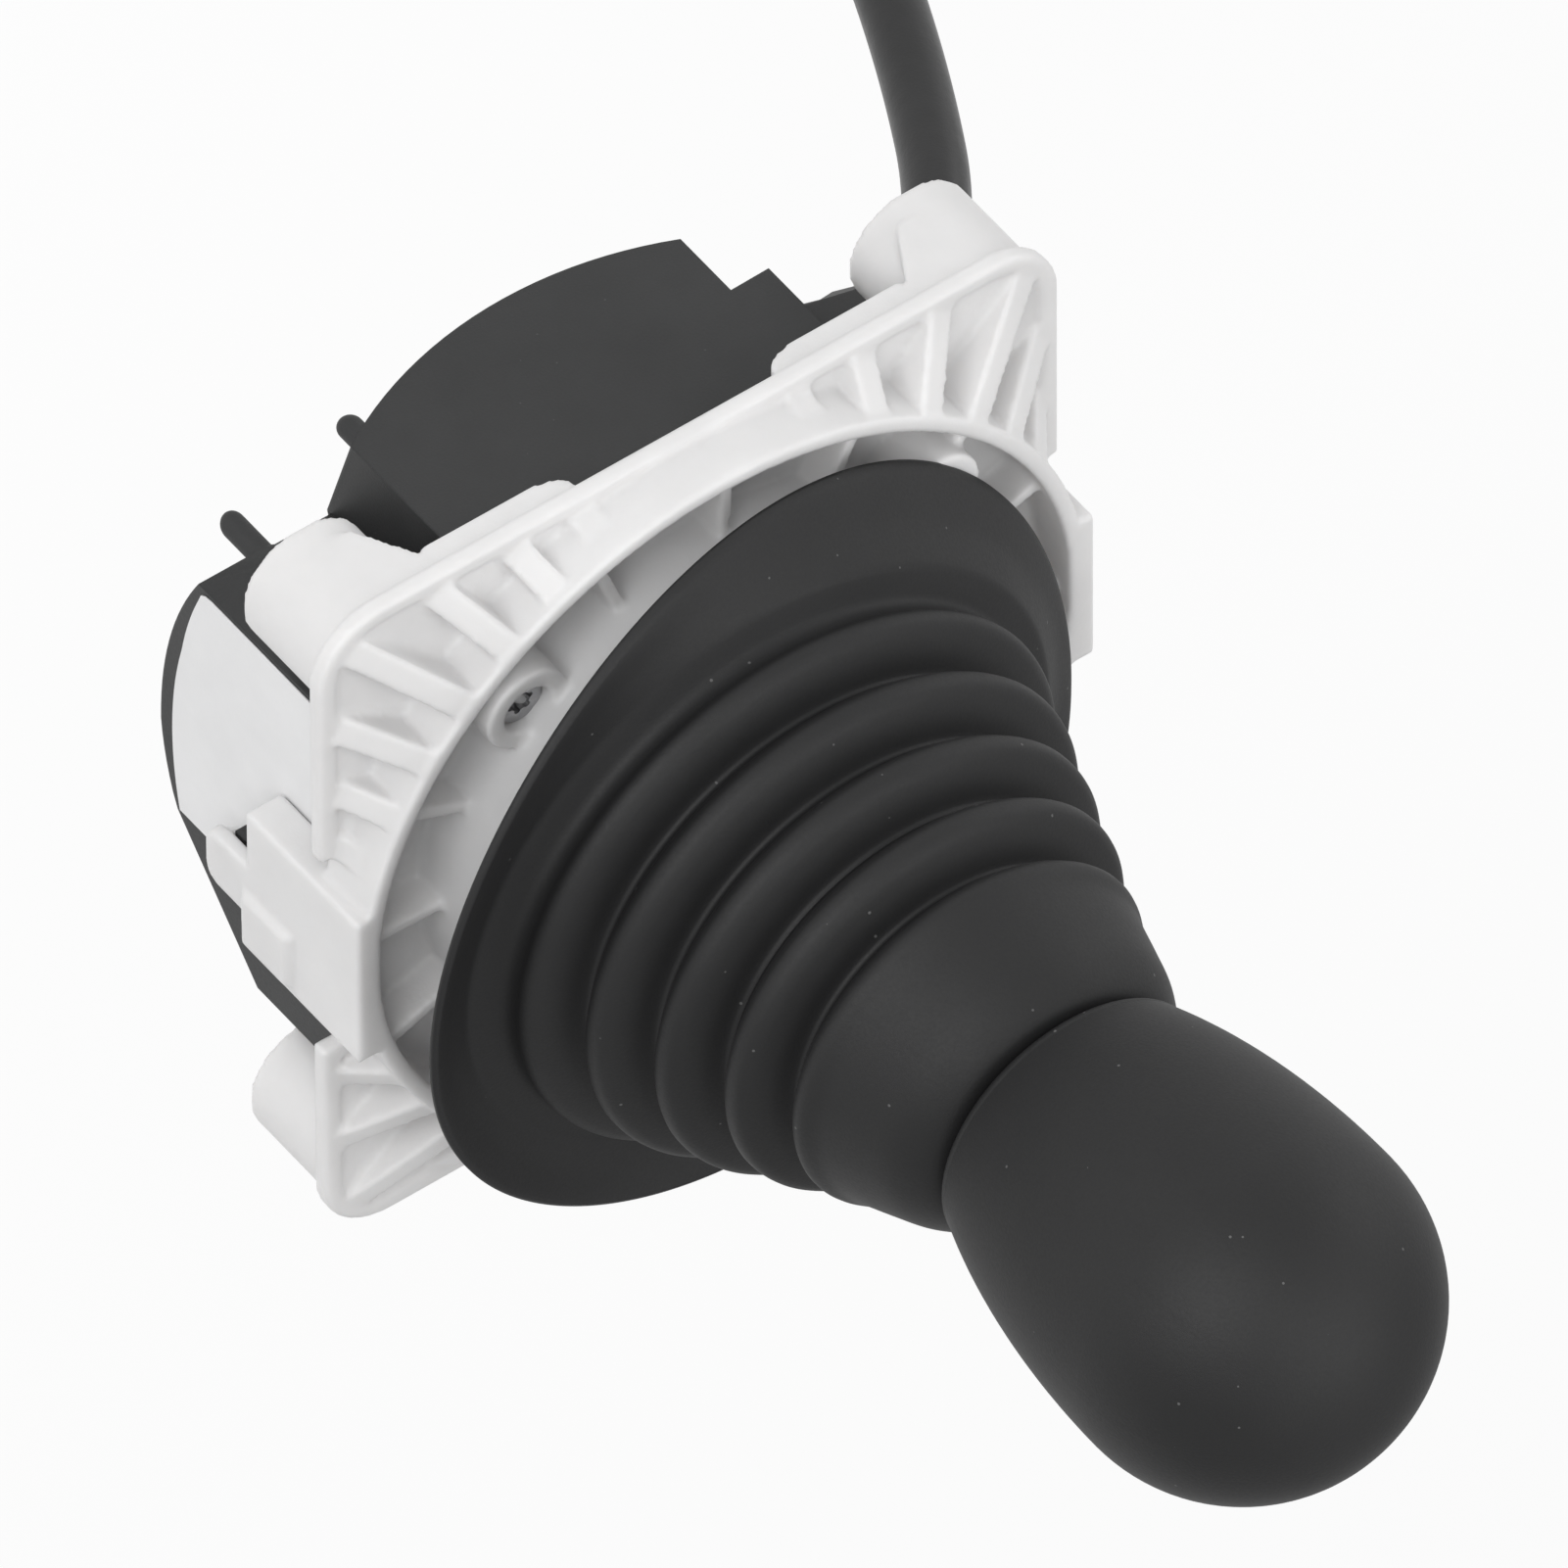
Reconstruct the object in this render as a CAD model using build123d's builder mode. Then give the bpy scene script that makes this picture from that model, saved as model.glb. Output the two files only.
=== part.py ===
from build123d import *
from math import cos, radians, sin, sqrt, tan
import os

os.makedirs("parts", exist_ok=True)

# Industrial joystick: a sprung two-axis lever with an egg-shaped knob and a rubber bellows boot, on a
# ribbed square frame with a plus-shaped sensor housing behind it. Millimetres, +Z up the lever. The origin
# is the middle of the four mounting boss ends, +X is the side with the label, -X the side with the cable.

# Frame
plate_side = 98.0
plate_corner_r = 8.5
plate_back_z = 10.5
plate_floor_t = 1.6
plate_front_z = 14.0
border_t = 1.8
boss_pitch = 79.0
boss_r = 7.7
pilot_r = 2.1
pilot_depth = 10.0
web_t = 1.8
web_drop = 7.2
web_reach = 8.5
collar_r = 45.2
collar_t = 1.6
collar_top_z = 21.0
well_r = 34.3
well_t = 1.7
well_top_z = 18.6
pocket_rib_t = 1.5
pocket_rib_count = 16
fan_rib_t = 2.4
fan_rib_step = 9.3
fan_rib_pairs = 3
fan_slope_reach = 7.7
fan_slope_rise = 0.7
side_box_half = 11.0
side_box_t = 1.8
side_box_x = 48.6
side_notch = 4.2
pad_t = 0.9
pad_width = 8.6
pad_height = 8.0
snap_width = 8.0
snap_drop = 6.0
snap_y = 3.9
catch_reach = 2.2
catch_height = 2.0
lip_drop = 2.6
lip_t = 2.0
lip_inset = 1.0
lip_length = 17.0
lip_x = 21.0

# Frame screws
screw_circle_r = 38.0
screw_angle = -47.5
screw_boss_r = 5.2
screw_r = 1.75
screw_hole_gap = 0.2
screw_head_r = 2.75
screw_head_t = 2.2
screw_sink = 3.4
screw_head_gap = 0.9
screw_length = 16.0
torx_r = 1.25
torx_lobe_r = 0.4
torx_depth = 1.3

# Housing
arm_x = 43.0
arm_x_half = 28.0
arm_y = 40.0
arm_y_half = 25.0
wall_t = 2.1
bowl_r = 42.0
bowl_low_z = -20.0
cover_t = 2.0
cover_gap = 0.12
neck_gap = 0.3
neck_t = 2.4
neck_top_z = 27.0
step_width = 5.0
step_depth = 12.0
step_z = -5.0
peg_r = 1.45
peg_tip_z = -16.6
peg_y_arm_x = 22.7
peg_x_arm_x = 34.5
peg_inset = 1.5
corner_boss_r = 4.2
corner_boss_depth = 12.0
bulkhead_in = 26.0
bulkhead_t = 3.5
bulkhead_bottom_z = -6.0
post_r = 1.6
lug_width = 6.0
lug_height = 1.8
lug_reach = 2.6

# Cover screws
cover_screw_x = 36.9
cover_screw_y = 19.5
cover_post_r = 3.0
cover_post_z = -5.0
cover_boss_r = 3.7
cover_seat_z = -8.5
cover_screw_r = 1.4
cover_screw_gap = 0.2
cover_head_r = 2.6
cover_head_t = 1.8
cover_screw_length = 10.0
cross_slot_w = 0.8
cross_slot_depth = 1.0

# Gimbal
pivot_z = 4.0
gimbal_side = 36.0
gimbal_opening = 26.0
gimbal_height = 11.0
gimbal_corner_r = 6.0
gimbal_inner_corner_r = 2.0
pin_r = 2.5
running_gap = 0.03
bush_t = 1.7
bush_flange_r = 5.6
bush_flange_t = 0.8
hub_bush_t = 1.5
hub_width = 14.0
hub_top_z = 15.0
hub_bottom_z = -4.0
hub_gap = 0.3
hub_corner_r = 2.0
cross_pin_inset = 0.2
cup_gap = 0.8
cup_t = 4.4
cup_r = 4.3
magnet_r = 3.0
magnet_t = 1.8
air_gap = 1.2
follower_r = 3.0
follower_tip_z = -16.2
follower_top_z = 0.5

# Sector arch
sector_leg_y = 21.5
sector_t = 3.0
sector_width = 11.0
sector_bottom_z = -12.6
sector_floor_t = 2.4
slot_gap = 0.55
slot_half_length = 12.5
sector_pin_spare = 0.7

# Return springs
spring_wire_r = 0.55
spring_coil_r = 3.9
spring_turns = 4
spring_pitch = 1.35
spring_gap = 0.3
spring_leg = 7.0
spring_hook = 3.0

# Lever
shaft_r = 4.0
shaft_bottom_z = 7.5
shaft_top_z = 108.0
sleeve_r = 10.5
sleeve_bottom_z = 71.0
nut_flats = 13.0
nut_t = 5.0

# Knob
knob_r = 21.6
knob_widest_z = 112.0
knob_base_z = 81.0
knob_lower_axis = 47.2
knob_base_round = 1.2
core_r = 12.0
core_top_z = 119.0
core_round = 5.0
groove_z = 96.0
groove_w = 4.0
groove_depth = 1.5

# Boot
boot_rim_r = 45.3
boot_rim_t = 2.2
boot_shoulder_r = 36.8
boot_shoulder_z = 31.8
boot_groove_r = 33.4
boot_groove_z = 32.4
boot_wall = 1.6
crest_r = 34.8
crest_step = 3.08
crest_z = 35.3
crest_pitch = 7.57
crest_count = 5
trough_depth = 3.8
boot_top_z = 79.6
boot_top_r = 15.6
boot_dome_r = 20.6
boot_dome_z = 73.5
boot_lip = 4.5
boot_neck_gap = 0.3
ring_wall_t = 1.6
ring_lip_t = 1.4
ring_lip_reach = 1.5
ring_depth = 6.0
ring_gap = 0.1

# Label
label_t = 0.25
label_margin = 1.7
label_left = 26.3
label_right = 11.5
label_top_z = -1.0
label_lug_gap = 0.3

# Circuit boards
board_t = 1.5
board_half = 8.0
board_bottom_z = -6.0
board_top_z = 8.0
chip_side = 5.0
chip_t = 0.6
board_post_y = 5.5
board_post_rise = 5.0
main_board_x = 35.7
main_half = 13.0
main_bottom_z = -11.0
main_post_y = 10.5
main_post_rise = 7.0
header_length = 10.0
header_height = 5.0
header_t = 2.5
header_z = 4.0
wire_r = 0.5
wire_pitch = 1.9
wire_count = 4

# Cable outlet
cable_r = 3.75
outlet_slope = 41.0
outlet_z = -5.1
outlet_flange_r = 8.6
outlet_flange_t = 1.6
outlet_stub_r = 7.0
outlet_stub_end = 0.4
outlet_gap = 0.1
outlet_root_r = 6.8
outlet_tip_r = 4.7
outlet_tail = 14.5
outlet_back = 8.0

# Cable from the outlet down to the plug, x and z of each corner
cable_start_x = -42.0
cable_first_run = 27.0
cable_corner_2 = (-77.0, -50.3)
cable_corner_3 = (-88.6, -82.3)
cable_corner_4 = (-94.9, -121.8)
cable_hang_x = -99.1
cable_corner_5_z = -181.6
cable_end_z = -239.0
arc_share = 0.45

# Plug
plug_width = 22.0
plug_depth = 14.0
plug_length = 27.0
plug_corner_r = 2.5
plug_shell_t = 1.4
plug_mouth = 12.0
seal_r = 6.4
seal_tip_r = 5.0
seal_above = 9.0
seal_below = 4.0
terminal_r = 1.1
terminal_pitch = 5.0
terminal_rows = 2
terminal_columns = 3
terminal_out = 6.5
terminal_in = 5.0
latch_width = 8.0
latch_t = 1.4
latch_gap = 1.2
latch_length = 18.0

# Worked-out places
half_side = plate_side / 2
boss_at = boss_pitch / 2
floor_top_z = plate_back_z + plate_floor_t
collar_out_r = collar_r + collar_t
housing_top_z = plate_back_z
ceiling_z = housing_top_z - wall_t
neck_r = well_r - neck_gap
neck_in_r = neck_r - neck_t
bowl_centre_z = bowl_low_z + bowl_r
box_in_x = side_box_x - side_box_t
screw_seat_z = collar_top_z - screw_sink
half_opening = gimbal_opening / 2
half_gimbal = gimbal_side / 2
hub_half_y = half_opening - hub_gap
bulkhead_out = bulkhead_in + bulkhead_t
cup_start = bulkhead_out + cup_gap
cup_end = cup_start + cup_t
pin_end = cup_end - magnet_t
board_face = cup_end + air_gap
board_back = board_face + board_t
main_board_back = main_board_x + board_t
wall_x_in = arm_x - wall_t
wall_y_in = arm_y - wall_t
bush_r = pin_r + running_gap + bush_t
hub_bush_r = pin_r + running_gap + hub_bush_t
sector_leg_out = sector_leg_y + sector_t
sector_pin_far = wall_y_in - sector_pin_spare
spring_start = spring_gap + spring_wire_r
ring_r = neck_in_r - ring_gap
ring_seat_r = ring_r + ring_lip_reach
boot_base_z = neck_top_z
boot_rim_top_z = boot_base_z + boot_rim_t
boot_neck_r = sleeve_r + boot_neck_gap
board_mid_rise = (board_bottom_z + board_top_z) / 2 - pivot_z
main_mid_rise = (main_bottom_z + board_top_z) / 2 - pivot_z
slope_run = cos(radians(outlet_slope))
slope_fall = sin(radians(outlet_slope))
quarter_turns = [0, 90, 180, 270]
hands = [-1, 1]

# Planes along the pin axes, their local y upwards: +X and -X for the gimbal, +Y and -Y for the arch
plus_x = Plane(origin=(0, 0, pivot_z), x_dir=(0, 1, 0), z_dir=(1, 0, 0))
minus_x = Plane(origin=(0, 0, pivot_z), x_dir=(0, -1, 0), z_dir=(-1, 0, 0))
plus_y = Plane(origin=(0, 0, pivot_z), x_dir=(-1, 0, 0), z_dir=(0, 1, 0))
minus_y = Plane(origin=(0, 0, pivot_z), x_dir=(1, 0, 0), z_dir=(0, -1, 0))


def bowl_z(across, radius):
    """Height of a bowl arc at a distance from the middle of its arm."""
    return bowl_centre_z - sqrt(radius**2 - across**2)


def upright(angle):
    """Upright plane through the lever axis, its x running outwards at an angle."""
    turn = radians(angle)
    return Plane(origin=(0, 0, 0), x_dir=(cos(turn), sin(turn), 0), z_dir=(sin(turn), -cos(turn), 0))


def arm_profile(half, radius, top):
    """Cross-section of one arm: an arc below, straight sides, a flat top."""
    with BuildSketch() as profile:
        with BuildLine():
            side_z = bowl_z(half, radius)
            ThreePointArc((-half, side_z), (0, bowl_centre_z - radius), (half, side_z))
            Polyline((half, side_z), (half, top), (-half, top), (-half, side_z))
        make_face()
    return profile.sketch


def crossed_arms(inset, radius, top):
    """Two crossed troughs, drawn in from the outside of the housing by inset."""
    with BuildPart() as troughs:
        with BuildSketch(Plane.YZ):
            add(arm_profile(arm_x_half - inset, radius, top))
        extrude(amount=arm_x - inset, both=True)
        with BuildSketch(Plane.XZ):
            add(arm_profile(arm_y_half - inset, radius, top))
        extrude(amount=arm_y - inset, both=True)
    return troughs.part


def plus_prism(inset, bottom, top):
    """Upright prism over the plus-shaped plan of the housing."""
    with BuildPart() as prism:
        with BuildSketch(Plane.XY.offset(bottom)):
            Rectangle(2 * (arm_x - inset), 2 * (arm_x_half - inset))
            Rectangle(2 * (arm_y_half - inset), 2 * (arm_y - inset))
        extrude(amount=top - bottom)
    return prism.part


def plate_prism(inset, bottom, top):
    """Upright prism over the square plan of the frame."""
    with BuildPart() as prism:
        with BuildSketch(Plane.XY.offset(bottom)):
            RectangleRounded(plate_side - 2 * inset, plate_side - 2 * inset, plate_corner_r - inset)
        extrude(amount=top - bottom)
    return prism.part


def fan_ribs():
    """Sloped ribs that fan out from the collar over the four corners."""
    rib_root = collar_r + collar_t / 2
    with BuildPart() as ribs:
        for quarter in quarter_turns:
            for rib in range(2 * fan_rib_pairs):
                angle = quarter + 45 + (rib - fan_rib_pairs + 0.5) * fan_rib_step
                with BuildSketch(upright(angle)):
                    with BuildLine():
                        Polyline(
                            (rib_root, plate_back_z),
                            (rib_root, collar_top_z),
                            (collar_out_r + fan_slope_reach, plate_front_z + fan_slope_rise),
                            (plate_side, plate_front_z),
                            (plate_side, plate_back_z),
                            close=True,
                        )
                    make_face()
                extrude(amount=fan_rib_t / 2, both=True)
        add(plate_prism(border_t / 2, plate_back_z, collar_top_z), mode=Mode.INTERSECT)
    return ribs.part


def coil_spring():
    """Torsion spring round +Z, its first leg hooked back below the coil."""
    coil_height = spring_turns * spring_pitch
    with BuildPart() as spring:
        with BuildLine():
            Helix(spring_pitch, coil_height, spring_coil_r)
        with BuildSketch(Plane(origin=(spring_coil_r, 0, 0), z_dir=(0, 1, 0))):
            Circle(spring_wire_r)
        sweep(is_frenet=True)
        with BuildSketch(Plane(origin=(spring_coil_r, 0, 0), z_dir=(0, -1, 0))):
            Circle(spring_wire_r)
        extrude(amount=spring_leg)
        with BuildSketch(Plane(origin=(spring_coil_r, 0, coil_height), z_dir=(0, 1, 0))):
            Circle(spring_wire_r)
        extrude(amount=spring_leg)
        with BuildSketch(Plane(origin=(spring_coil_r, -spring_leg, -spring_hook), z_dir=(0, 0, 1))):
            Circle(spring_wire_r)
        extrude(amount=spring_hook + spring_wire_r)
    return spring.part


def bush(plane):
    """Flanged bearing bush, its flange on the inner side of a bulkhead."""
    with BuildPart() as sleeve:
        with BuildSketch(plane.offset(bulkhead_in - bush_flange_t)):
            Circle(bush_flange_r)
        extrude(amount=bush_flange_t)
        with BuildSketch(plane.offset(bulkhead_in)):
            Circle(bush_r)
        extrude(amount=bulkhead_t)
        with BuildSketch(plane.offset(bulkhead_in - bush_flange_t)):
            Circle(pin_r + running_gap)
        extrude(amount=bulkhead_t + bush_flange_t, mode=Mode.SUBTRACT)
    return sleeve.part


def magnet_cup(plane):
    """Cup that carries a magnet on the end of a pin."""
    with BuildPart() as cup:
        with BuildSketch(plane.offset(cup_start)):
            Circle(cup_r)
            Circle(pin_r, mode=Mode.SUBTRACT)
        extrude(amount=pin_end - cup_start)
        with BuildSketch(plane.offset(pin_end)):
            Circle(cup_r)
            Circle(magnet_r, mode=Mode.SUBTRACT)
        extrude(amount=magnet_t)
    return cup.part


def magnet(plane):
    """Disc magnet in the end of its cup."""
    with BuildPart() as disc:
        with BuildSketch(plane.offset(pin_end)):
            Circle(magnet_r)
        extrude(amount=magnet_t)
    return disc.part


def sensor_board(plane):
    """Small upright board with one chip that faces a magnet."""
    with BuildPart() as board:
        with BuildSketch(plane.offset(board_face)):
            with Locations((0, board_mid_rise)):
                Rectangle(2 * board_half, board_top_z - board_bottom_z)
        extrude(amount=board_t)
        with BuildSketch(plane.offset(board_face - chip_t)):
            Rectangle(chip_side, chip_side)
        extrude(amount=chip_t)
    return board.part


def core_body():
    """Outside of the knob core: a rounded plug with a holding groove."""
    with BuildPart() as body:
        with BuildSketch(Plane.XY.offset(knob_base_z)):
            Circle(core_r)
        extrude(amount=core_top_z - knob_base_z)
        fillet(body.edges().sort_by(Axis.Z)[-1], radius=core_round)
        with BuildSketch(Plane.XY.offset(groove_z)):
            Circle(core_r)
            Circle(core_r - groove_depth, mode=Mode.SUBTRACT)
        extrude(amount=groove_w, mode=Mode.SUBTRACT)
    return body.part


def egg_radius(height):
    """Radius of the knob below its widest circle."""
    return knob_r * sqrt(1 - ((knob_widest_z - height) / knob_lower_axis) ** 2)


def crest(index):
    """Radius and height of a bellows crest."""
    return (crest_r - index * crest_step, crest_z + index * crest_pitch)


def crease(index):
    """Radius and height of the crease above a crest."""
    return (crest_r - (index + 0.5) * crest_step - trough_depth, crest_z + (index + 0.5) * crest_pitch)


def drawn_in(point):
    """The same point of the boot's profile on the inside of its wall."""
    return (point[0] - boot_wall, point[1])


# Mounting frame
corner_ribs = fan_ribs()
with BuildPart() as mounting_frame:
    add(plate_prism(0, plate_back_z, plate_front_z))
    add(plate_prism(border_t, floor_top_z, plate_front_z), mode=Mode.SUBTRACT)
    with BuildSketch(Plane.XY.offset(plate_back_z)):
        with GridLocations(plate_side, 2 * side_box_half + side_notch, 2, 2):
            Rectangle(plate_side - 2 * collar_r, side_notch)
    extrude(amount=plate_front_z - plate_back_z, mode=Mode.SUBTRACT)
    add(corner_ribs)
    # Collar, well, pocket ribs and screw bosses
    with BuildSketch(Plane.XY.offset(plate_back_z)):
        Circle(collar_out_r)
        Circle(collar_r, mode=Mode.SUBTRACT)
        with PolarLocations(screw_circle_r, 4, start_angle=screw_angle):
            Circle(screw_boss_r)
        with GridLocations(collar_r + side_box_x, 0, 2, 1):
            Rectangle(side_box_x - collar_r, 2 * side_box_half)
    extrude(amount=collar_top_z - plate_back_z)
    with BuildSketch(Plane.XY.offset(plate_back_z)):
        with PolarLocations((collar_r + well_r + well_t) / 2, pocket_rib_count, start_angle=screw_angle):
            Rectangle(collar_r - well_r, pocket_rib_t)
        Circle(well_r + well_t)
        Circle(well_r, mode=Mode.SUBTRACT)
    extrude(amount=well_top_z - plate_back_z)
    with BuildSketch(Plane.XY.offset(plate_back_z)):
        Circle(well_r)
    extrude(amount=collar_top_z - plate_back_z, mode=Mode.SUBTRACT)
    with Locations(Plane.XY.offset(collar_top_z)):
        with PolarLocations(screw_circle_r, 4, start_angle=screw_angle):
            CounterBoreHole(screw_r + screw_hole_gap, screw_head_r + screw_head_gap, screw_sink)
    # Mounting bosses with blind pilot holes, and the webs beside them
    with BuildSketch():
        with GridLocations(boss_pitch, boss_pitch, 2, 2):
            Circle(boss_r)
    extrude(amount=floor_top_z)
    for side in hands:
        with BuildSketch(Plane.XZ.offset(side * (boss_at + boss_r - web_t / 2))):
            for hand in hands:
                with BuildLine():
                    Polyline(
                        (hand * boss_at, plate_back_z),
                        (hand * (boss_at - web_reach), plate_back_z),
                        (hand * (boss_at - boss_r / 2), plate_back_z - web_drop),
                        (hand * boss_at, plate_back_z - web_drop),
                        close=True,
                    )
                make_face()
        extrude(amount=web_t / 2, both=True)
    with BuildSketch():
        with GridLocations(boss_pitch, boss_pitch, 2, 2):
            Circle(pilot_r)
    extrude(amount=pilot_depth, mode=Mode.SUBTRACT)
    # Side boxes round the ends of the housing, with cheeks behind the plate
    with BuildSketch():
        with GridLocations(side_box_x + box_in_x, 0, 2, 1):
            Rectangle(side_box_t, 2 * side_box_half)
        cheek_start = arm_x + neck_gap
        with GridLocations(side_box_x + cheek_start, 2 * side_box_half - side_box_t, 2, 2):
            Rectangle(side_box_x - cheek_start, side_box_t)
    extrude(amount=plate_back_z)
    # Pad and snap finger on the label side
    with BuildSketch():
        with Locations((side_box_x + pad_t / 2, side_box_half - pad_width / 2)):
            Rectangle(pad_t, pad_width)
    extrude(amount=pad_height)
    with BuildSketch(Plane.YZ.offset(box_in_x)):
        with Locations((snap_y, pad_t - snap_drop / 2)):
            RectangleRounded(snap_width, snap_drop + 2 * pad_t, snap_width / 4)
    extrude(amount=side_box_t)
    with BuildSketch(Plane.XZ.offset(-snap_y - lug_width / 2)):
        with BuildLine():
            Polyline(
                (box_in_x, catch_height - snap_drop),
                (box_in_x - catch_reach, catch_height - snap_drop),
                (box_in_x, -snap_drop),
                close=True,
            )
        make_face()
    extrude(amount=lug_width)
    # Stiffening lips behind the other two sides
    with BuildSketch(Plane.XY.offset(plate_back_z - lip_drop)):
        with GridLocations(2 * lip_x, 2 * (half_side - lip_inset) - lip_t, 2, 2):
            Rectangle(lip_length, lip_t)
    extrude(amount=lip_drop)
mounting_frame.part.label = "mounting_frame"
export_step(mounting_frame.part, "parts/mounting_frame.step")

# Frame screws
with BuildPart() as frame_screws:
    with BuildSketch(Plane.XY.offset(screw_seat_z)):
        with PolarLocations(screw_circle_r, 4, start_angle=screw_angle):
            Circle(screw_head_r)
    extrude(amount=screw_head_t)
    with BuildSketch(Plane.XY.offset(screw_seat_z - screw_length)):
        with PolarLocations(screw_circle_r, 4, start_angle=screw_angle):
            Circle(screw_r)
    extrude(amount=screw_length)
    with BuildSketch(Plane.XY.offset(screw_seat_z + screw_head_t - torx_depth)):
        with PolarLocations(screw_circle_r, 4, start_angle=screw_angle):
            Circle(torx_r)
            with PolarLocations(torx_r, 6):
                Circle(torx_lobe_r)
    extrude(amount=torx_depth, mode=Mode.SUBTRACT)
frame_screws.part.label = "frame_screws"
export_step(frame_screws.part, "parts/frame_screws.step")

# Housing
outside = crossed_arms(0, bowl_r, housing_top_z)
with BuildPart() as housing:
    add(outside)
    add(plus_prism(wall_t, bowl_low_z, ceiling_z), mode=Mode.SUBTRACT)
    # Stepped corner beside the shorter arm
    with BuildSketch(Plane.XY.offset(bowl_low_z)):
        with Locations((-arm_y_half, -arm_y)):
            Rectangle(step_width + wall_t, step_depth + wall_t, align=(Align.MIN, Align.MIN))
    extrude(amount=step_z + wall_t - bowl_low_z)
    add(outside, mode=Mode.INTERSECT)
    with BuildSketch(Plane.XY.offset(bowl_low_z)):
        with Locations((-arm_y_half, -arm_y)):
            Rectangle(step_width, step_depth, align=(Align.MIN, Align.MIN))
    extrude(amount=step_z - bowl_low_z, mode=Mode.SUBTRACT)
    # Neck that carries the boot
    with BuildSketch(Plane.XY.offset(ceiling_z)):
        Circle(neck_r)
    extrude(amount=neck_top_z - ceiling_z)
    with BuildSketch(Plane.XY.offset(ceiling_z)):
        Circle(neck_in_r)
    extrude(amount=neck_top_z - ceiling_z, mode=Mode.SUBTRACT)
    # Screw bosses in the four inner corners
    with BuildSketch(Plane.XY.offset(housing_top_z - corner_boss_depth)):
        with PolarLocations(screw_circle_r, 4, start_angle=screw_angle):
            Circle(corner_boss_r)
    extrude(amount=corner_boss_depth)
    # Bulkheads with the bearing seats
    with BuildSketch(Plane.XY.offset(bulkhead_bottom_z)):
        with GridLocations(bulkhead_in + bulkhead_out, 0, 2, 1):
            Rectangle(bulkhead_t, 2 * (arm_x_half - wall_t))
        with GridLocations(0, bulkhead_in + bulkhead_out, 1, 2):
            Rectangle(2 * (arm_y_half - wall_t), bulkhead_t)
    extrude(amount=housing_top_z - bulkhead_bottom_z)
    for axis_plane in [plus_x, minus_x, plus_y, minus_y]:
        with BuildSketch(axis_plane.offset(bulkhead_in)):
            Circle(bush_r)
        extrude(amount=bulkhead_t, mode=Mode.SUBTRACT)
    with BuildSketch(plus_y.offset(bulkhead_out)):
        with Locations((-spring_leg, -spring_coil_r)):
            Circle(spring_wire_r)
    extrude(amount=spring_start - spring_hook, mode=Mode.SUBTRACT)
    # Posts for the cover screws
    with BuildSketch(Plane.XY.offset(cover_post_z)):
        with GridLocations(2 * cover_screw_x, 2 * cover_screw_y, 2, 2):
            Circle(cover_post_r)
    extrude(amount=ceiling_z - cover_post_z)
    with BuildSketch(Plane.XY.offset(cover_post_z)):
        with GridLocations(2 * cover_screw_x, 2 * cover_screw_y, 2, 2):
            Circle(cover_screw_r)
    extrude(amount=cover_screw_length - cover_post_z + cover_seat_z, mode=Mode.SUBTRACT)
    # Posts for the circuit boards
    with BuildSketch(plus_x.offset(board_back)):
        with Locations((0, board_mid_rise)):
            with GridLocations(2 * board_post_y, 2 * board_post_rise, 2, 2):
                Circle(post_r)
    extrude(amount=wall_x_in - board_back)
    with BuildSketch(minus_y.offset(board_back)):
        with Locations((0, board_mid_rise)):
            with GridLocations(2 * board_post_y, 2 * board_post_rise, 2, 2):
                Circle(post_r)
    extrude(amount=wall_y_in - board_back)
    with BuildSketch(minus_x.offset(main_board_back)):
        with Locations((0, main_mid_rise)):
            with GridLocations(2 * main_post_y, 2 * main_post_rise, 2, 2):
                Circle(post_r)
    extrude(amount=wall_x_in - main_board_back)
    # Locating pegs below the arms, round-ended
    peg_spots = [(peg_y_arm_x, peg_inset - arm_y), (peg_x_arm_x, peg_inset - arm_x_half)]
    for spot in peg_spots:
        with BuildSketch(Plane.XY.offset(peg_tip_z + peg_r)):
            with Locations(spot):
                Circle(peg_r)
        extrude(amount=step_z - peg_tip_z - peg_r)
        with Locations((spot[0], spot[1], peg_tip_z + peg_r)):
            Sphere(peg_r)
    # Lug for the snap finger
    with BuildSketch(Plane.YZ.offset(arm_x)):
        with Locations((snap_y, catch_height - snap_drop + lug_height / 2)):
            Rectangle(lug_width, lug_height)
    extrude(amount=lug_reach)
    # Cable hole and the screw pilots
    with BuildSketch(minus_x.offset(wall_x_in)):
        with Locations((0, outlet_z - pivot_z)):
            Circle(outlet_stub_r + outlet_gap)
    extrude(amount=wall_t, mode=Mode.SUBTRACT)
    with BuildSketch(Plane.XY.offset(screw_seat_z - screw_length)):
        with PolarLocations(screw_circle_r, 4, start_angle=screw_angle):
            Circle(screw_r)
    extrude(amount=screw_length, mode=Mode.SUBTRACT)
housing.part.label = "housing"
export_step(housing.part, "parts/housing.step")

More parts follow.
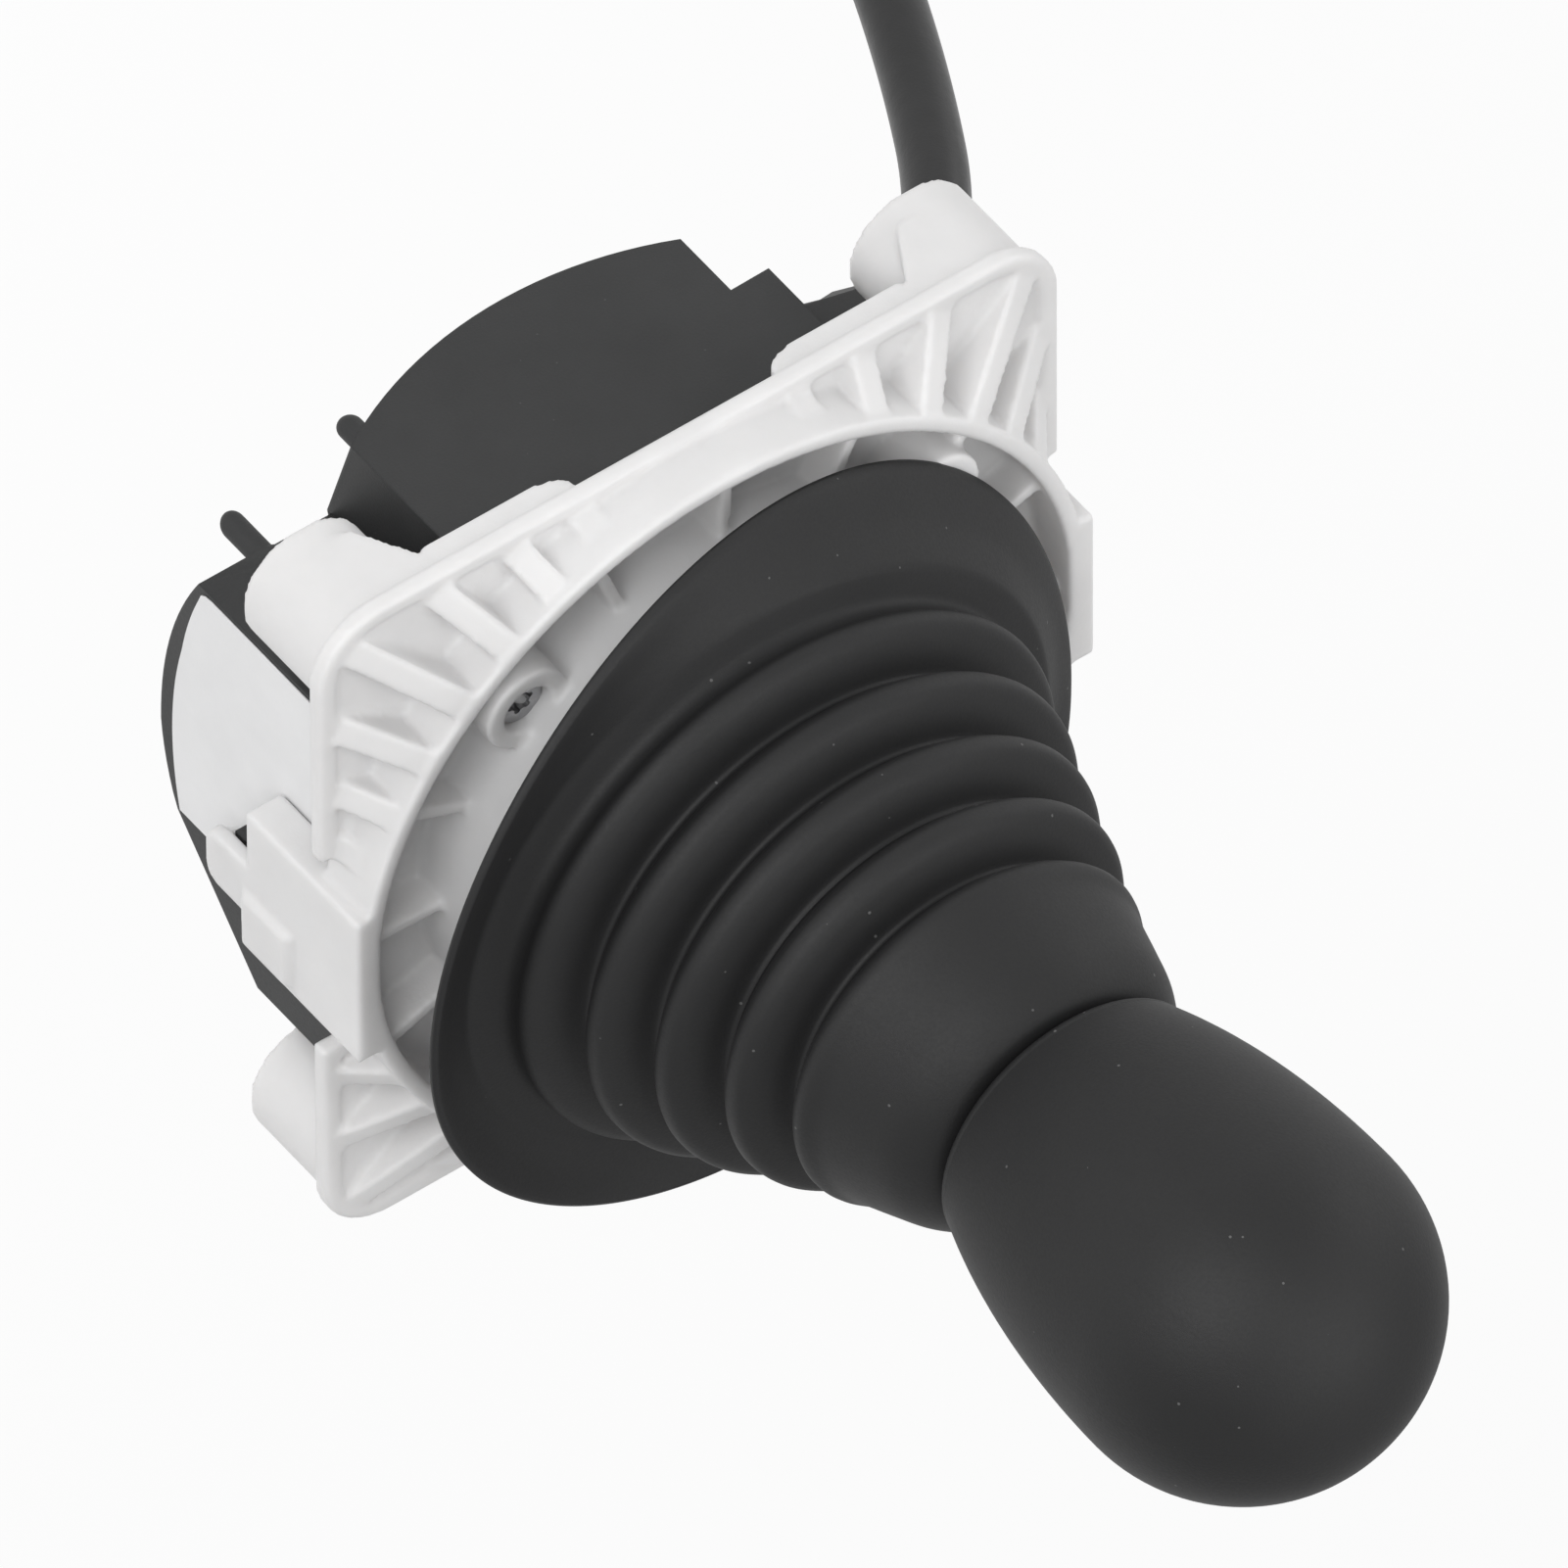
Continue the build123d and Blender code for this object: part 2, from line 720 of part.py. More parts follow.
# Bottom cover
with BuildPart() as bottom_cover:
    add(plus_prism(wall_t + cover_gap, bowl_low_z, ceiling_z))
    add(crossed_arms(0, bowl_r - cover_t, ceiling_z), mode=Mode.SUBTRACT)
    with BuildSketch(Plane.XY.offset(bowl_low_z)):
        with GridLocations(2 * cover_screw_x, 2 * cover_screw_y, 2, 2):
            Circle(cover_boss_r)
    extrude(amount=cover_post_z - bowl_low_z)
    add(crossed_arms(0, bowl_r, ceiling_z), mode=Mode.INTERSECT)
    with BuildSketch(Plane.XY.offset(bowl_low_z)):
        with GridLocations(2 * cover_screw_x, 2 * cover_screw_y, 2, 2):
            Circle(cover_screw_r + cover_screw_gap)
    extrude(amount=cover_post_z - bowl_low_z, mode=Mode.SUBTRACT)
    with BuildSketch(Plane.XY.offset(bowl_low_z)):
        with GridLocations(2 * cover_screw_x, 2 * cover_screw_y, 2, 2):
            Circle(cover_head_r + cover_screw_gap)
    extrude(amount=cover_seat_z - bowl_low_z, mode=Mode.SUBTRACT)
    # Room for the stepped corner and the pegs
    with BuildSketch(Plane.XY.offset(bowl_low_z)):
        step_room = wall_t + cover_gap
        with Locations((-arm_y_half, -arm_y)):
            Rectangle(step_width + step_room, step_depth + step_room, align=(Align.MIN, Align.MIN))
        with Locations(*peg_spots):
            Circle(peg_r + cover_gap)
    extrude(amount=ceiling_z - bowl_low_z, mode=Mode.SUBTRACT)
bottom_cover.part.label = "bottom_cover"
export_step(bottom_cover.part, "parts/bottom_cover.step")

# Cover screws
with BuildPart() as cover_screws:
    with BuildSketch(Plane.XY.offset(cover_seat_z - cover_head_t)):
        with GridLocations(2 * cover_screw_x, 2 * cover_screw_y, 2, 2):
            Circle(cover_head_r)
    extrude(amount=cover_head_t)
    with BuildSketch(Plane.XY.offset(cover_seat_z)):
        with GridLocations(2 * cover_screw_x, 2 * cover_screw_y, 2, 2):
            Circle(cover_screw_r)
    extrude(amount=cover_screw_length)
    with BuildSketch(Plane.XY.offset(cover_seat_z - cover_head_t)):
        with GridLocations(2 * cover_screw_x, 2 * cover_screw_y, 2, 2):
            Rectangle(2 * cover_screw_r, cross_slot_w)
            Rectangle(cross_slot_w, 2 * cover_screw_r)
    extrude(amount=cross_slot_depth, mode=Mode.SUBTRACT)
cover_screws.part.label = "cover_screws"
export_step(cover_screws.part, "parts/cover_screws.step")

# Label
with BuildPart() as label:
    with BuildSketch(Plane.YZ.offset(arm_x)):
        label_r = bowl_r - label_margin
        label_mid = (label_right - label_left) / 2
        with BuildLine():
            ThreePointArc(
                (-label_left, bowl_z(label_left, label_r)),
                (label_mid, bowl_z(label_mid, label_r)),
                (label_right, bowl_z(label_right, label_r)),
            )
            Polyline(
                (label_right, bowl_z(label_right, label_r)),
                (label_right, label_top_z),
                (-label_left, label_top_z),
                (-label_left, bowl_z(label_left, label_r)),
            )
        make_face()
        with Locations((snap_y, catch_height - snap_drop + lug_height / 2)):
            lug_clear = 2 * label_lug_gap
            Rectangle(lug_width + lug_clear, lug_height + lug_clear, mode=Mode.SUBTRACT)
    extrude(amount=label_t)
label.part.label = "label"
export_step(label.part, "parts/label.step")

# Gimbal ring
with BuildPart() as gimbal_ring:
    with BuildSketch(Plane.XY.offset(pivot_z - gimbal_height / 2)):
        RectangleRounded(gimbal_side, gimbal_side, gimbal_corner_r)
        RectangleRounded(gimbal_opening, gimbal_opening, gimbal_inner_corner_r, mode=Mode.SUBTRACT)
    extrude(amount=gimbal_height)
    for axis_plane in [plus_x, minus_x]:
        with BuildSketch(axis_plane.offset(half_opening)):
            Circle(pin_r)
        extrude(amount=half_gimbal - half_opening, mode=Mode.SUBTRACT)
    for axis_plane in [plus_y, minus_y]:
        with BuildSketch(axis_plane.offset(half_opening)):
            Circle(hub_bush_r)
        extrude(amount=half_gimbal - half_opening, mode=Mode.SUBTRACT)
    with BuildSketch(minus_x.offset(half_gimbal)):
        with Locations((-spring_leg, -spring_coil_r)):
            Circle(spring_wire_r)
    extrude(amount=spring_start - spring_hook, mode=Mode.SUBTRACT)
gimbal_ring.part.label = "gimbal_ring"
export_step(gimbal_ring.part, "parts/gimbal_ring.step")

# Gimbal pins
with BuildPart() as gimbal_pins:
    for axis_plane in [plus_x, minus_x]:
        with BuildSketch(axis_plane.offset(half_opening)):
            Circle(pin_r)
        extrude(amount=pin_end - half_opening)
gimbal_pins.part.label = "gimbal_pins"
export_step(gimbal_pins.part, "parts/gimbal_pins.step")

# Gimbal bushes
with BuildPart() as gimbal_bushes:
    for axis_plane in [plus_x, minus_x]:
        add(bush(axis_plane))
gimbal_bushes.part.label = "gimbal_bushes"
export_step(gimbal_bushes.part, "parts/gimbal_bushes.step")

# Bushes for the cross pin
with BuildPart() as hub_bushes:
    for axis_plane in [plus_y, minus_y]:
        with BuildSketch(axis_plane.offset(half_opening)):
            Circle(hub_bush_r)
            Circle(pin_r + running_gap, mode=Mode.SUBTRACT)
        extrude(amount=half_gimbal - half_opening)
hub_bushes.part.label = "hub_bushes"
export_step(hub_bushes.part, "parts/hub_bushes.step")

# Cross pin
with BuildPart() as cross_pin:
    with BuildSketch(plus_y):
        Circle(pin_r)
    extrude(amount=half_gimbal - cross_pin_inset, both=True)
cross_pin.part.label = "cross_pin"
export_step(cross_pin.part, "parts/cross_pin.step")

# Lever hub
with BuildPart() as lever_hub:
    with BuildSketch(Plane.XY.offset(hub_bottom_z)):
        RectangleRounded(hub_width, 2 * hub_half_y, hub_corner_r)
    extrude(amount=hub_top_z - hub_bottom_z)
    with BuildSketch(plus_y):
        Circle(pin_r)
    extrude(amount=hub_half_y, both=True, mode=Mode.SUBTRACT)
    with BuildSketch(Plane.XY.offset(shaft_bottom_z)):
        Circle(shaft_r)
    extrude(amount=hub_top_z - shaft_bottom_z, mode=Mode.SUBTRACT)
    with BuildSketch(Plane.XY.offset(hub_bottom_z)):
        Circle(follower_r)
    extrude(amount=follower_top_z - hub_bottom_z, mode=Mode.SUBTRACT)
lever_hub.part.label = "lever_hub"
export_step(lever_hub.part, "parts/lever_hub.step")

# Follower peg
with BuildPart() as lever_follower:
    with BuildSketch(Plane.XY.offset(follower_tip_z)):
        Circle(follower_r)
    extrude(amount=follower_top_z - follower_tip_z)
    tip_edge = lever_follower.edges().sort_by(Axis.Z)[0]
    fillet(tip_edge, radius=follower_r / 3)
lever_follower.part.label = "lever_follower"
export_step(lever_follower.part, "parts/lever_follower.step")

# Lever shaft
with BuildPart() as lever_shaft:
    with BuildSketch(Plane.XY.offset(shaft_bottom_z)):
        Circle(shaft_r)
    extrude(amount=shaft_top_z - shaft_bottom_z)
lever_shaft.part.label = "lever_shaft"
export_step(lever_shaft.part, "parts/lever_shaft.step")

# Lever nut
with BuildPart() as lever_nut:
    with BuildSketch(Plane.XY.offset(sleeve_bottom_z - nut_t)):
        RegularPolygon(nut_flats / 2, 6, major_radius=False)
        Circle(shaft_r, mode=Mode.SUBTRACT)
    extrude(amount=nut_t)
lever_nut.part.label = "lever_nut"
export_step(lever_nut.part, "parts/lever_nut.step")

# Lever sleeve
with BuildPart() as lever_sleeve:
    with BuildSketch(Plane.XY.offset(sleeve_bottom_z)):
        Circle(sleeve_r)
        Circle(shaft_r, mode=Mode.SUBTRACT)
    extrude(amount=knob_base_z - sleeve_bottom_z)
lever_sleeve.part.label = "lever_sleeve"
export_step(lever_sleeve.part, "parts/lever_sleeve.step")

# Knob core
with BuildPart() as knob_core:
    add(core_body())
    with BuildSketch(Plane.XY.offset(knob_base_z)):
        Circle(shaft_r)
    extrude(amount=shaft_top_z - knob_base_z, mode=Mode.SUBTRACT)
knob_core.part.label = "knob_core"
export_step(knob_core.part, "parts/knob_core.step")

# Knob cover: half an ellipse below the widest circle, half a sphere above it
with BuildPart() as knob_cover:
    with BuildSketch(Plane.XZ):
        with BuildLine():
            round_z = knob_base_z + knob_base_round
            egg_heights = [round_z + step * (knob_widest_z - round_z) / 6 for step in range(7)]
            base_r = egg_radius(round_z)
            Spline(*[(egg_radius(height), height) for height in egg_heights])
            CenterArc((0, knob_widest_z), knob_r, 0, 90)
            CenterArc((base_r - knob_base_round, round_z), knob_base_round, 0, -90)
            Polyline((base_r - knob_base_round, knob_base_z), (0, knob_base_z), (0, knob_widest_z + knob_r))
        make_face()
    revolve(axis=Axis.Z)
    add(core_body(), mode=Mode.SUBTRACT)
knob_cover.part.label = "knob_cover"
export_step(knob_cover.part, "parts/knob_cover.step")

# Boot: five folds between a wide rim and a domed neck
with BuildPart() as boot:
    with BuildSketch(Plane.XZ):
        with BuildLine():
            creases = [(boot_groove_r, boot_groove_z)] + [crease(index) for index in range(crest_count - 1)]
            crests = [crest(index) for index in range(crest_count)]
            for below, peak, above in zip(creases, crests, creases[1:]):
                ThreePointArc(below, peak, above)
            Spline(creases[-1], crests[-1], (boot_dome_r, boot_dome_z), (boot_top_r, boot_top_z))
            inner_folds = []
            for below, peak in zip(creases, crests):
                inner_folds += [drawn_in(below), drawn_in(peak)]
            Polyline(
                creases[0],
                (boot_shoulder_r, boot_shoulder_z),
                (boot_rim_r, boot_rim_top_z),
                (boot_rim_r, boot_base_z),
                (ring_r, boot_base_z),
                (ring_r, boot_rim_top_z),
                (ring_seat_r, boot_rim_top_z),
                (ring_seat_r, boot_rim_top_z + ring_lip_t),
                *inner_folds,
                drawn_in((boot_dome_r, boot_dome_z - boot_wall)),
                (boot_neck_r + boot_wall, boot_top_z - boot_lip),
                (boot_neck_r, boot_top_z - boot_lip),
                (boot_neck_r, boot_top_z),
                (boot_top_r, boot_top_z),
            )
        make_face()
    revolve(axis=Axis.Z)
boot.part.label = "boot"
export_step(boot.part, "parts/boot.step")

# Boot ring
with BuildPart() as boot_ring:
    with BuildSketch(Plane.XY.offset(boot_base_z - ring_depth)):
        Circle(ring_r)
    extrude(amount=ring_depth + boot_rim_t)
    with BuildSketch(Plane.XY.offset(boot_rim_top_z)):
        Circle(ring_seat_r)
    extrude(amount=ring_lip_t)
    with BuildSketch(Plane.XY.offset(boot_base_z - ring_depth)):
        Circle(ring_r - ring_wall_t)
    extrude(amount=ring_depth + boot_rim_t + ring_lip_t, mode=Mode.SUBTRACT)
boot_ring.part.label = "boot_ring"
export_step(boot_ring.part, "parts/boot_ring.step")

# Sector arch: two legs and a slotted floor that the follower pushes
with BuildPart() as sector_arm:
    with BuildSketch(Plane.XZ):
        with Locations((0, pivot_z)):
            Circle(sector_width / 2)
        with Locations((0, sector_bottom_z - sector_floor_t)):
            leg_height = pivot_z - sector_bottom_z + sector_floor_t
            Rectangle(sector_width, leg_height, align=(Align.CENTER, Align.MIN))
    extrude(amount=sector_leg_out, both=True)
    with BuildSketch(Plane.XZ):
        with Locations((0, sector_bottom_z)):
            Rectangle(2 * sector_width, 2 * gimbal_side, align=(Align.CENTER, Align.MIN))
    extrude(amount=sector_leg_y, both=True, mode=Mode.SUBTRACT)
    with BuildSketch(Plane.XY.offset(sector_bottom_z - sector_floor_t)):
        SlotOverall(2 * slot_half_length, 2 * (follower_r + slot_gap), rotation=90)
    extrude(amount=sector_floor_t, mode=Mode.SUBTRACT)
    for axis_plane in [plus_y, minus_y]:
        with BuildSketch(axis_plane.offset(sector_leg_y)):
            Circle(pin_r)
        extrude(amount=sector_t, mode=Mode.SUBTRACT)
sector_arm.part.label = "sector_arm"
export_step(sector_arm.part, "parts/sector_arm.step")

# Sector pins
with BuildPart() as sector_pins:
    with BuildSketch(plus_y.offset(sector_leg_y)):
        Circle(pin_r)
    extrude(amount=sector_pin_far - sector_leg_y)
    with BuildSketch(minus_y.offset(sector_leg_y)):
        Circle(pin_r)
    extrude(amount=pin_end - sector_leg_y)
sector_pins.part.label = "sector_pins"
export_step(sector_pins.part, "parts/sector_pins.step")

# Sector bushes
with BuildPart() as sector_bushes:
    for axis_plane in [plus_y, minus_y]:
        add(bush(axis_plane))
sector_bushes.part.label = "sector_bushes"
export_step(sector_bushes.part, "parts/sector_bushes.step")

# Magnets in cups on the pin ends
with BuildPart() as magnet_cup_x:
    add(magnet_cup(plus_x))
magnet_cup_x.part.label = "magnet_cup_x"
export_step(magnet_cup_x.part, "parts/magnet_cup_x.step")

with BuildPart() as magnet_cup_y:
    add(magnet_cup(minus_y))
magnet_cup_y.part.label = "magnet_cup_y"
export_step(magnet_cup_y.part, "parts/magnet_cup_y.step")

with BuildPart() as magnet_x:
    add(magnet(plus_x))
magnet_x.part.label = "magnet_x"
export_step(magnet_x.part, "parts/magnet_x.step")

with BuildPart() as magnet_y:
    add(magnet(minus_y))
magnet_y.part.label = "magnet_y"
export_step(magnet_y.part, "parts/magnet_y.step")

# Return springs, hooked in the gimbal ring and in a bulkhead
spring_x_place = Plane(origin=(-half_gimbal - spring_start, 0, pivot_z), x_dir=(0, 0, -1), z_dir=(-1, 0, 0))
spring_y_place = Plane(origin=(0, bulkhead_out + spring_start, pivot_z), x_dir=(0, 0, -1), z_dir=(0, 1, 0))
with BuildPart() as return_spring_x:
    add(coil_spring().moved(spring_x_place.location))
return_spring_x.part.label = "return_spring_x"
export_step(return_spring_x.part, "parts/return_spring_x.step")

with BuildPart() as return_spring_y:
    add(coil_spring().moved(spring_y_place.location))
return_spring_y.part.label = "return_spring_y"
export_step(return_spring_y.part, "parts/return_spring_y.step")

# Sensor boards
with BuildPart() as sensor_board_x:
    add(sensor_board(plus_x))
sensor_board_x.part.label = "sensor_board_x"
export_step(sensor_board_x.part, "parts/sensor_board_x.step")

with BuildPart() as sensor_board_y:
    add(sensor_board(minus_y))
sensor_board_y.part.label = "sensor_board_y"
export_step(sensor_board_y.part, "parts/sensor_board_y.step")

# Main board with its header and wires
with BuildPart() as main_board:
    with BuildSketch(minus_x.offset(main_board_x)):
        with Locations((0, main_mid_rise)):
            Rectangle(2 * main_half, board_top_z - main_bottom_z)
    extrude(amount=board_t)
main_board.part.label = "main_board"
export_step(main_board.part, "parts/main_board.step")

with BuildPart() as board_header:
    with BuildSketch(minus_x.offset(main_board_back)):
        with Locations((0, header_z - pivot_z)):
            Rectangle(header_length, header_height)
    extrude(amount=header_t)
board_header.part.label = "board_header"
export_step(board_header.part, "parts/board_header.step")

wire_x = -main_board_back - header_t / 2
with BuildPart() as inner_wires:
    for wire in range(wire_count):
        wire_y = (wire - (wire_count - 1) / 2) * wire_pitch
        with BuildLine() as wire_line:
            FilletPolyline(
                (cable_start_x + wire_r, wire_y, outlet_z),
                (wire_x, wire_y, outlet_z + wire_r),
                (wire_x, wire_y, header_z - header_height / 2),
                radius=2 * wire_r,
            )
        wire_path = wire_line.wire()
        with BuildSketch(Plane(origin=wire_path @ 0, z_dir=wire_path % 0)):
            Circle(wire_r)
        sweep(path=wire_path)
inner_wires.part.label = "inner_wires"
export_step(inner_wires.part, "parts/inner_wires.step")

# Cable outlet: a flange on the wall with a sloped, tapered tail
outlet_plane = Plane(
    origin=(cable_start_x + outlet_back * slope_run, 0, outlet_z + outlet_back * slope_fall),
    x_dir=(0, 1, 0),
    z_dir=(-slope_run, 0, -slope_fall),
)
outlet_length = outlet_back + outlet_tail
with BuildPart() as cable_outlet:
    with BuildSketch(outlet_plane):
        Circle(outlet_root_r)
    with BuildSketch(outlet_plane.offset(outlet_length)):
        Circle(outlet_tip_r)
    loft()
    split(bisect_by=Plane.YZ.offset(-arm_x), keep=Keep.BOTTOM)
    with BuildSketch(minus_x.offset(arm_x)):
        with Locations((0, outlet_z - pivot_z)):
            Circle(outlet_flange_r)
    extrude(amount=outlet_flange_t)
    with BuildSketch(minus_x.offset(wall_x_in - outlet_stub_end)):
        with Locations((0, outlet_z - pivot_z)):
            Circle(outlet_stub_r)
    extrude(amount=wall_t + outlet_stub_end)
    with BuildSketch(outlet_plane):
        Circle(cable_r)
    extrude(amount=outlet_length, mode=Mode.SUBTRACT)
cable_outlet.part.label = "cable_outlet"
export_step(cable_outlet.part, "parts/cable_outlet.step")

# Cable: straight runs joined by tangent arcs, in the plane of the long arm
corners = [
    (cable_start_x, outlet_z),
    (cable_start_x - cable_first_run * slope_run, outlet_z - cable_first_run * slope_fall),
    cable_corner_2,
    cable_corner_3,
    cable_corner_4,
    (cable_hang_x, cable_corner_5_z),
    (cable_hang_x, cable_end_z),
]
cable_points = [Vector(x, 0, z) for x, z in corners]
bend_radii = []
for before, corner, after in zip(cable_points, cable_points[1:], cable_points[2:]):
    run_in = corner - before
    run_out = after - corner
    half_turn = radians(run_in.get_angle(run_out)) / 2
    bend_radii.append(arc_share * min(run_in.length, run_out.length) / tan(half_turn))
print("cable bend radii", [round(radius, 1) for radius in bend_radii])
with BuildPart() as cable:
    with BuildLine() as cable_line:
        FilletPolyline(*cable_points, radius=bend_radii)
    cable_path = cable_line.wire()
    with BuildSketch(Plane(origin=cable_path @ 0, z_dir=cable_path % 0)):
        Circle(cable_r)
    sweep(path=cable_path)
print("cable length", round(cable_path.length, 1))
cable.part.label = "cable"
export_step(cable.part, "parts/cable.step")

# Plug body with its mouth downwards
plug_top_z = cable_end_z - seal_below
plug_bottom_z = plug_top_z - plug_length
mouth_floor_z = plug_bottom_z + plug_mouth
with BuildPart() as plug_body:
    with BuildSketch(Plane.XY.offset(plug_bottom_z)):
        with Locations((cable_hang_x, 0)):
            RectangleRounded(plug_depth, plug_width, plug_corner_r)
    extrude(amount=plug_length)
    with BuildSketch(Plane.XY.offset(plug_bottom_z)):
        with Locations((cable_hang_x, 0)):
            mouth_depth = plug_depth - 2 * plug_shell_t
            mouth_width = plug_width - 2 * plug_shell_t
            RectangleRounded(mouth_depth, mouth_width, plug_corner_r - plug_shell_t)
    extrude(amount=plug_mouth, mode=Mode.SUBTRACT)
    with BuildSketch(Plane.XZ):
        with Locations((cable_hang_x + plug_depth / 2, plug_top_z - plug_length / 2)):
            latch_out = latch_gap + latch_t
            Rectangle(latch_out, latch_length, align=(Align.MIN, Align.CENTER))
            Rectangle(latch_gap, latch_length - 2 * latch_t, align=(Align.MIN, Align.CENTER), mode=Mode.SUBTRACT)
    extrude(amount=latch_width / 2, both=True)
    with BuildSketch(Plane.XY.offset(mouth_floor_z)):
        with Locations((cable_hang_x, 0)):
            with GridLocations(terminal_pitch, terminal_pitch, terminal_rows, terminal_columns):
                Circle(terminal_r)
    extrude(amount=terminal_in, mode=Mode.SUBTRACT)
plug_body.part.label = "plug_body"
export_step(plug_body.part, "parts/plug_body.step")

# Plug terminals
with BuildPart() as plug_terminals:
    with BuildSketch(Plane.XY.offset(mouth_floor_z - terminal_out)):
        with Locations((cable_hang_x, 0)):
            with GridLocations(terminal_pitch, terminal_pitch, terminal_rows, terminal_columns):
                Circle(terminal_r)
    extrude(amount=terminal_out + terminal_in)
plug_terminals.part.label = "plug_terminals"
export_step(plug_terminals.part, "parts/plug_terminals.step")

# Plug seal round the cable end
with BuildPart() as plug_seal:
    with BuildSketch(Plane.XY.offset(plug_top_z)):
        with Locations((cable_hang_x, 0)):
            Circle(seal_r)
    with BuildSketch(Plane.XY.offset(cable_end_z + seal_above)):
        with Locations((cable_hang_x, 0)):
            Circle(seal_tip_r)
    loft()
    with BuildSketch(Plane.XY.offset(cable_end_z)):
        with Locations((cable_hang_x, 0)):
            Circle(cable_r)
    extrude(amount=seal_above, mode=Mode.SUBTRACT)
plug_seal.part.label = "plug_seal"
export_step(plug_seal.part, "parts/plug_seal.step")
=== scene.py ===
import math

import bmesh
import bpy
from mathutils import Matrix, Vector


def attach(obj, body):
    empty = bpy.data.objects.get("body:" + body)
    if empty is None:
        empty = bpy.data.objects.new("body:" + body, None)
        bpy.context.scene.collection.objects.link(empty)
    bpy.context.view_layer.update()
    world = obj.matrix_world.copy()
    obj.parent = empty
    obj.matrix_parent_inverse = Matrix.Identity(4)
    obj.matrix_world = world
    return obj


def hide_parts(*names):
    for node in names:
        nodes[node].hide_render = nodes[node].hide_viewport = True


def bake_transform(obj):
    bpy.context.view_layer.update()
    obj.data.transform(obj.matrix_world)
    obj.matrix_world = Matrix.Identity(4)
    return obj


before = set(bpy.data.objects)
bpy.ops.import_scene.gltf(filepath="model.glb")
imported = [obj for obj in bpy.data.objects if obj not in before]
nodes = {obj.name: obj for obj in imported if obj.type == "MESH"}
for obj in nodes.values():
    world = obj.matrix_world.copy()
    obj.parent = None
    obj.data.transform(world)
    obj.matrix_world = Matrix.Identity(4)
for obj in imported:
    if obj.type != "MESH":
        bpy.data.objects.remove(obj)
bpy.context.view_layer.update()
scene = bpy.context.scene
scene.view_settings.view_transform = "Standard"

MM = 0.001

# ---------------------------------------------------------------- camera

RIGHT = Vector((-0.80388213, 0.00347616, 0.59477848))
DOWN = Vector((0.45080838, 0.6558852, 0.6054638))
AWAY = Vector((-0.38800171, 0.75485265, -0.52882147))
AIM = Vector((-5.93, 3.53, 23.39)) * MM
VIEW_WIDTH = 165.12 * MM
CAMERA_DISTANCE = 7.0

camera_data = bpy.data.cameras.new("photo_camera")
camera = bpy.data.objects.new("photo_camera", camera_data)
scene.collection.objects.link(camera)
scene.camera = camera
camera_data.sensor_fit = "HORIZONTAL"
camera_data.sensor_width = 36.0
camera_data.lens = camera_data.sensor_width * CAMERA_DISTANCE / VIEW_WIDTH
camera_data.clip_start = 0.5
camera_data.clip_end = 40.0
turn = Matrix((RIGHT, -DOWN, -AWAY)).transposed().to_4x4()
camera.matrix_world = Matrix.Translation(AIM - AWAY * CAMERA_DISTANCE) @ turn

# ---------------------------------------------------------------- cable

CABLE_D = 7.5 * MM
CABLE_POINTS = [
    (-42.0, 0.0, -5.1),
    (-62.377, 0.0, -22.814),
    (-77.0, 0.0, -50.3),
    (-88.6, 0.0, -82.3),
    (-94.9, 0.0, -121.8),
    (-99.1, 0.0, -181.6),
    (-99.1, 0.0, -239.0),
]


def nurbs_tube(name, points, diameter):
    curve = bpy.data.curves.new(name, "CURVE")
    curve.dimensions = "3D"
    curve.resolution_u = 24
    curve.bevel_depth = 1.0
    curve.bevel_resolution = 10
    curve.use_fill_caps = True
    spline = curve.splines.new("NURBS")
    spline.points.add(len(points) - 1)
    for point, (x, y, z) in zip(spline.points, points):
        point.co = (x * MM, y * MM, z * MM, 1.0)
        point.radius = diameter / 2
    spline.order_u = 3
    spline.use_endpoint_u = True
    tube = bpy.data.objects.new(name, curve)
    scene.collection.objects.link(tube)
    return tube


cable_run = nurbs_tube("cable_run", CABLE_POINTS, CABLE_D)
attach(cable_run, "base")
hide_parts("cable")

# ---------------------------------------------------------------- materials


def node(tree, kind, **values):
    made = tree.nodes.new(kind)
    for key, value in values.items():
        setattr(made, key, value)
    return made


def noise_tex(tree, coords, scale, detail=3.0, rough=0.5):
    made = node(tree, "ShaderNodeTexNoise")
    made.inputs["Scale"].default_value = scale
    made.inputs["Detail"].default_value = detail
    made.inputs["Roughness"].default_value = rough
    tree.links.new(coords, made.inputs["Vector"])
    return made.outputs["Fac"]


def ramp(tree, fac, stops):
    made = node(tree, "ShaderNodeValToRGB")
    tree.links.new(fac, made.inputs["Fac"])
    elements = made.color_ramp.elements
    while len(elements) < len(stops):
        elements.new(0.5)
    for element, (place, value) in zip(elements, stops):
        element.position = place
        element.color = (*value, 1.0) if isinstance(value, tuple) else (value, value, value, 1.0)
    return made.outputs["Color"]


def spans(tree, value, low, high):
    made = node(tree, "ShaderNodeMapRange")
    made.inputs["To Min"].default_value = low
    made.inputs["To Max"].default_value = high
    tree.links.new(value, made.inputs["Value"])
    return made.outputs["Result"]


def mix(tree, fac, a, b, mode="MIX"):
    made = node(tree, "ShaderNodeMix", data_type="RGBA", blend_type=mode)
    for socket, value in ((made.inputs[0], fac), (made.inputs[6], a), (made.inputs[7], b)):
        if isinstance(value, bpy.types.NodeSocket):
            tree.links.new(value, socket)
        elif isinstance(value, tuple):
            socket.default_value = (*value, 1.0)
        else:
            socket.default_value = value
    return made.outputs[2]


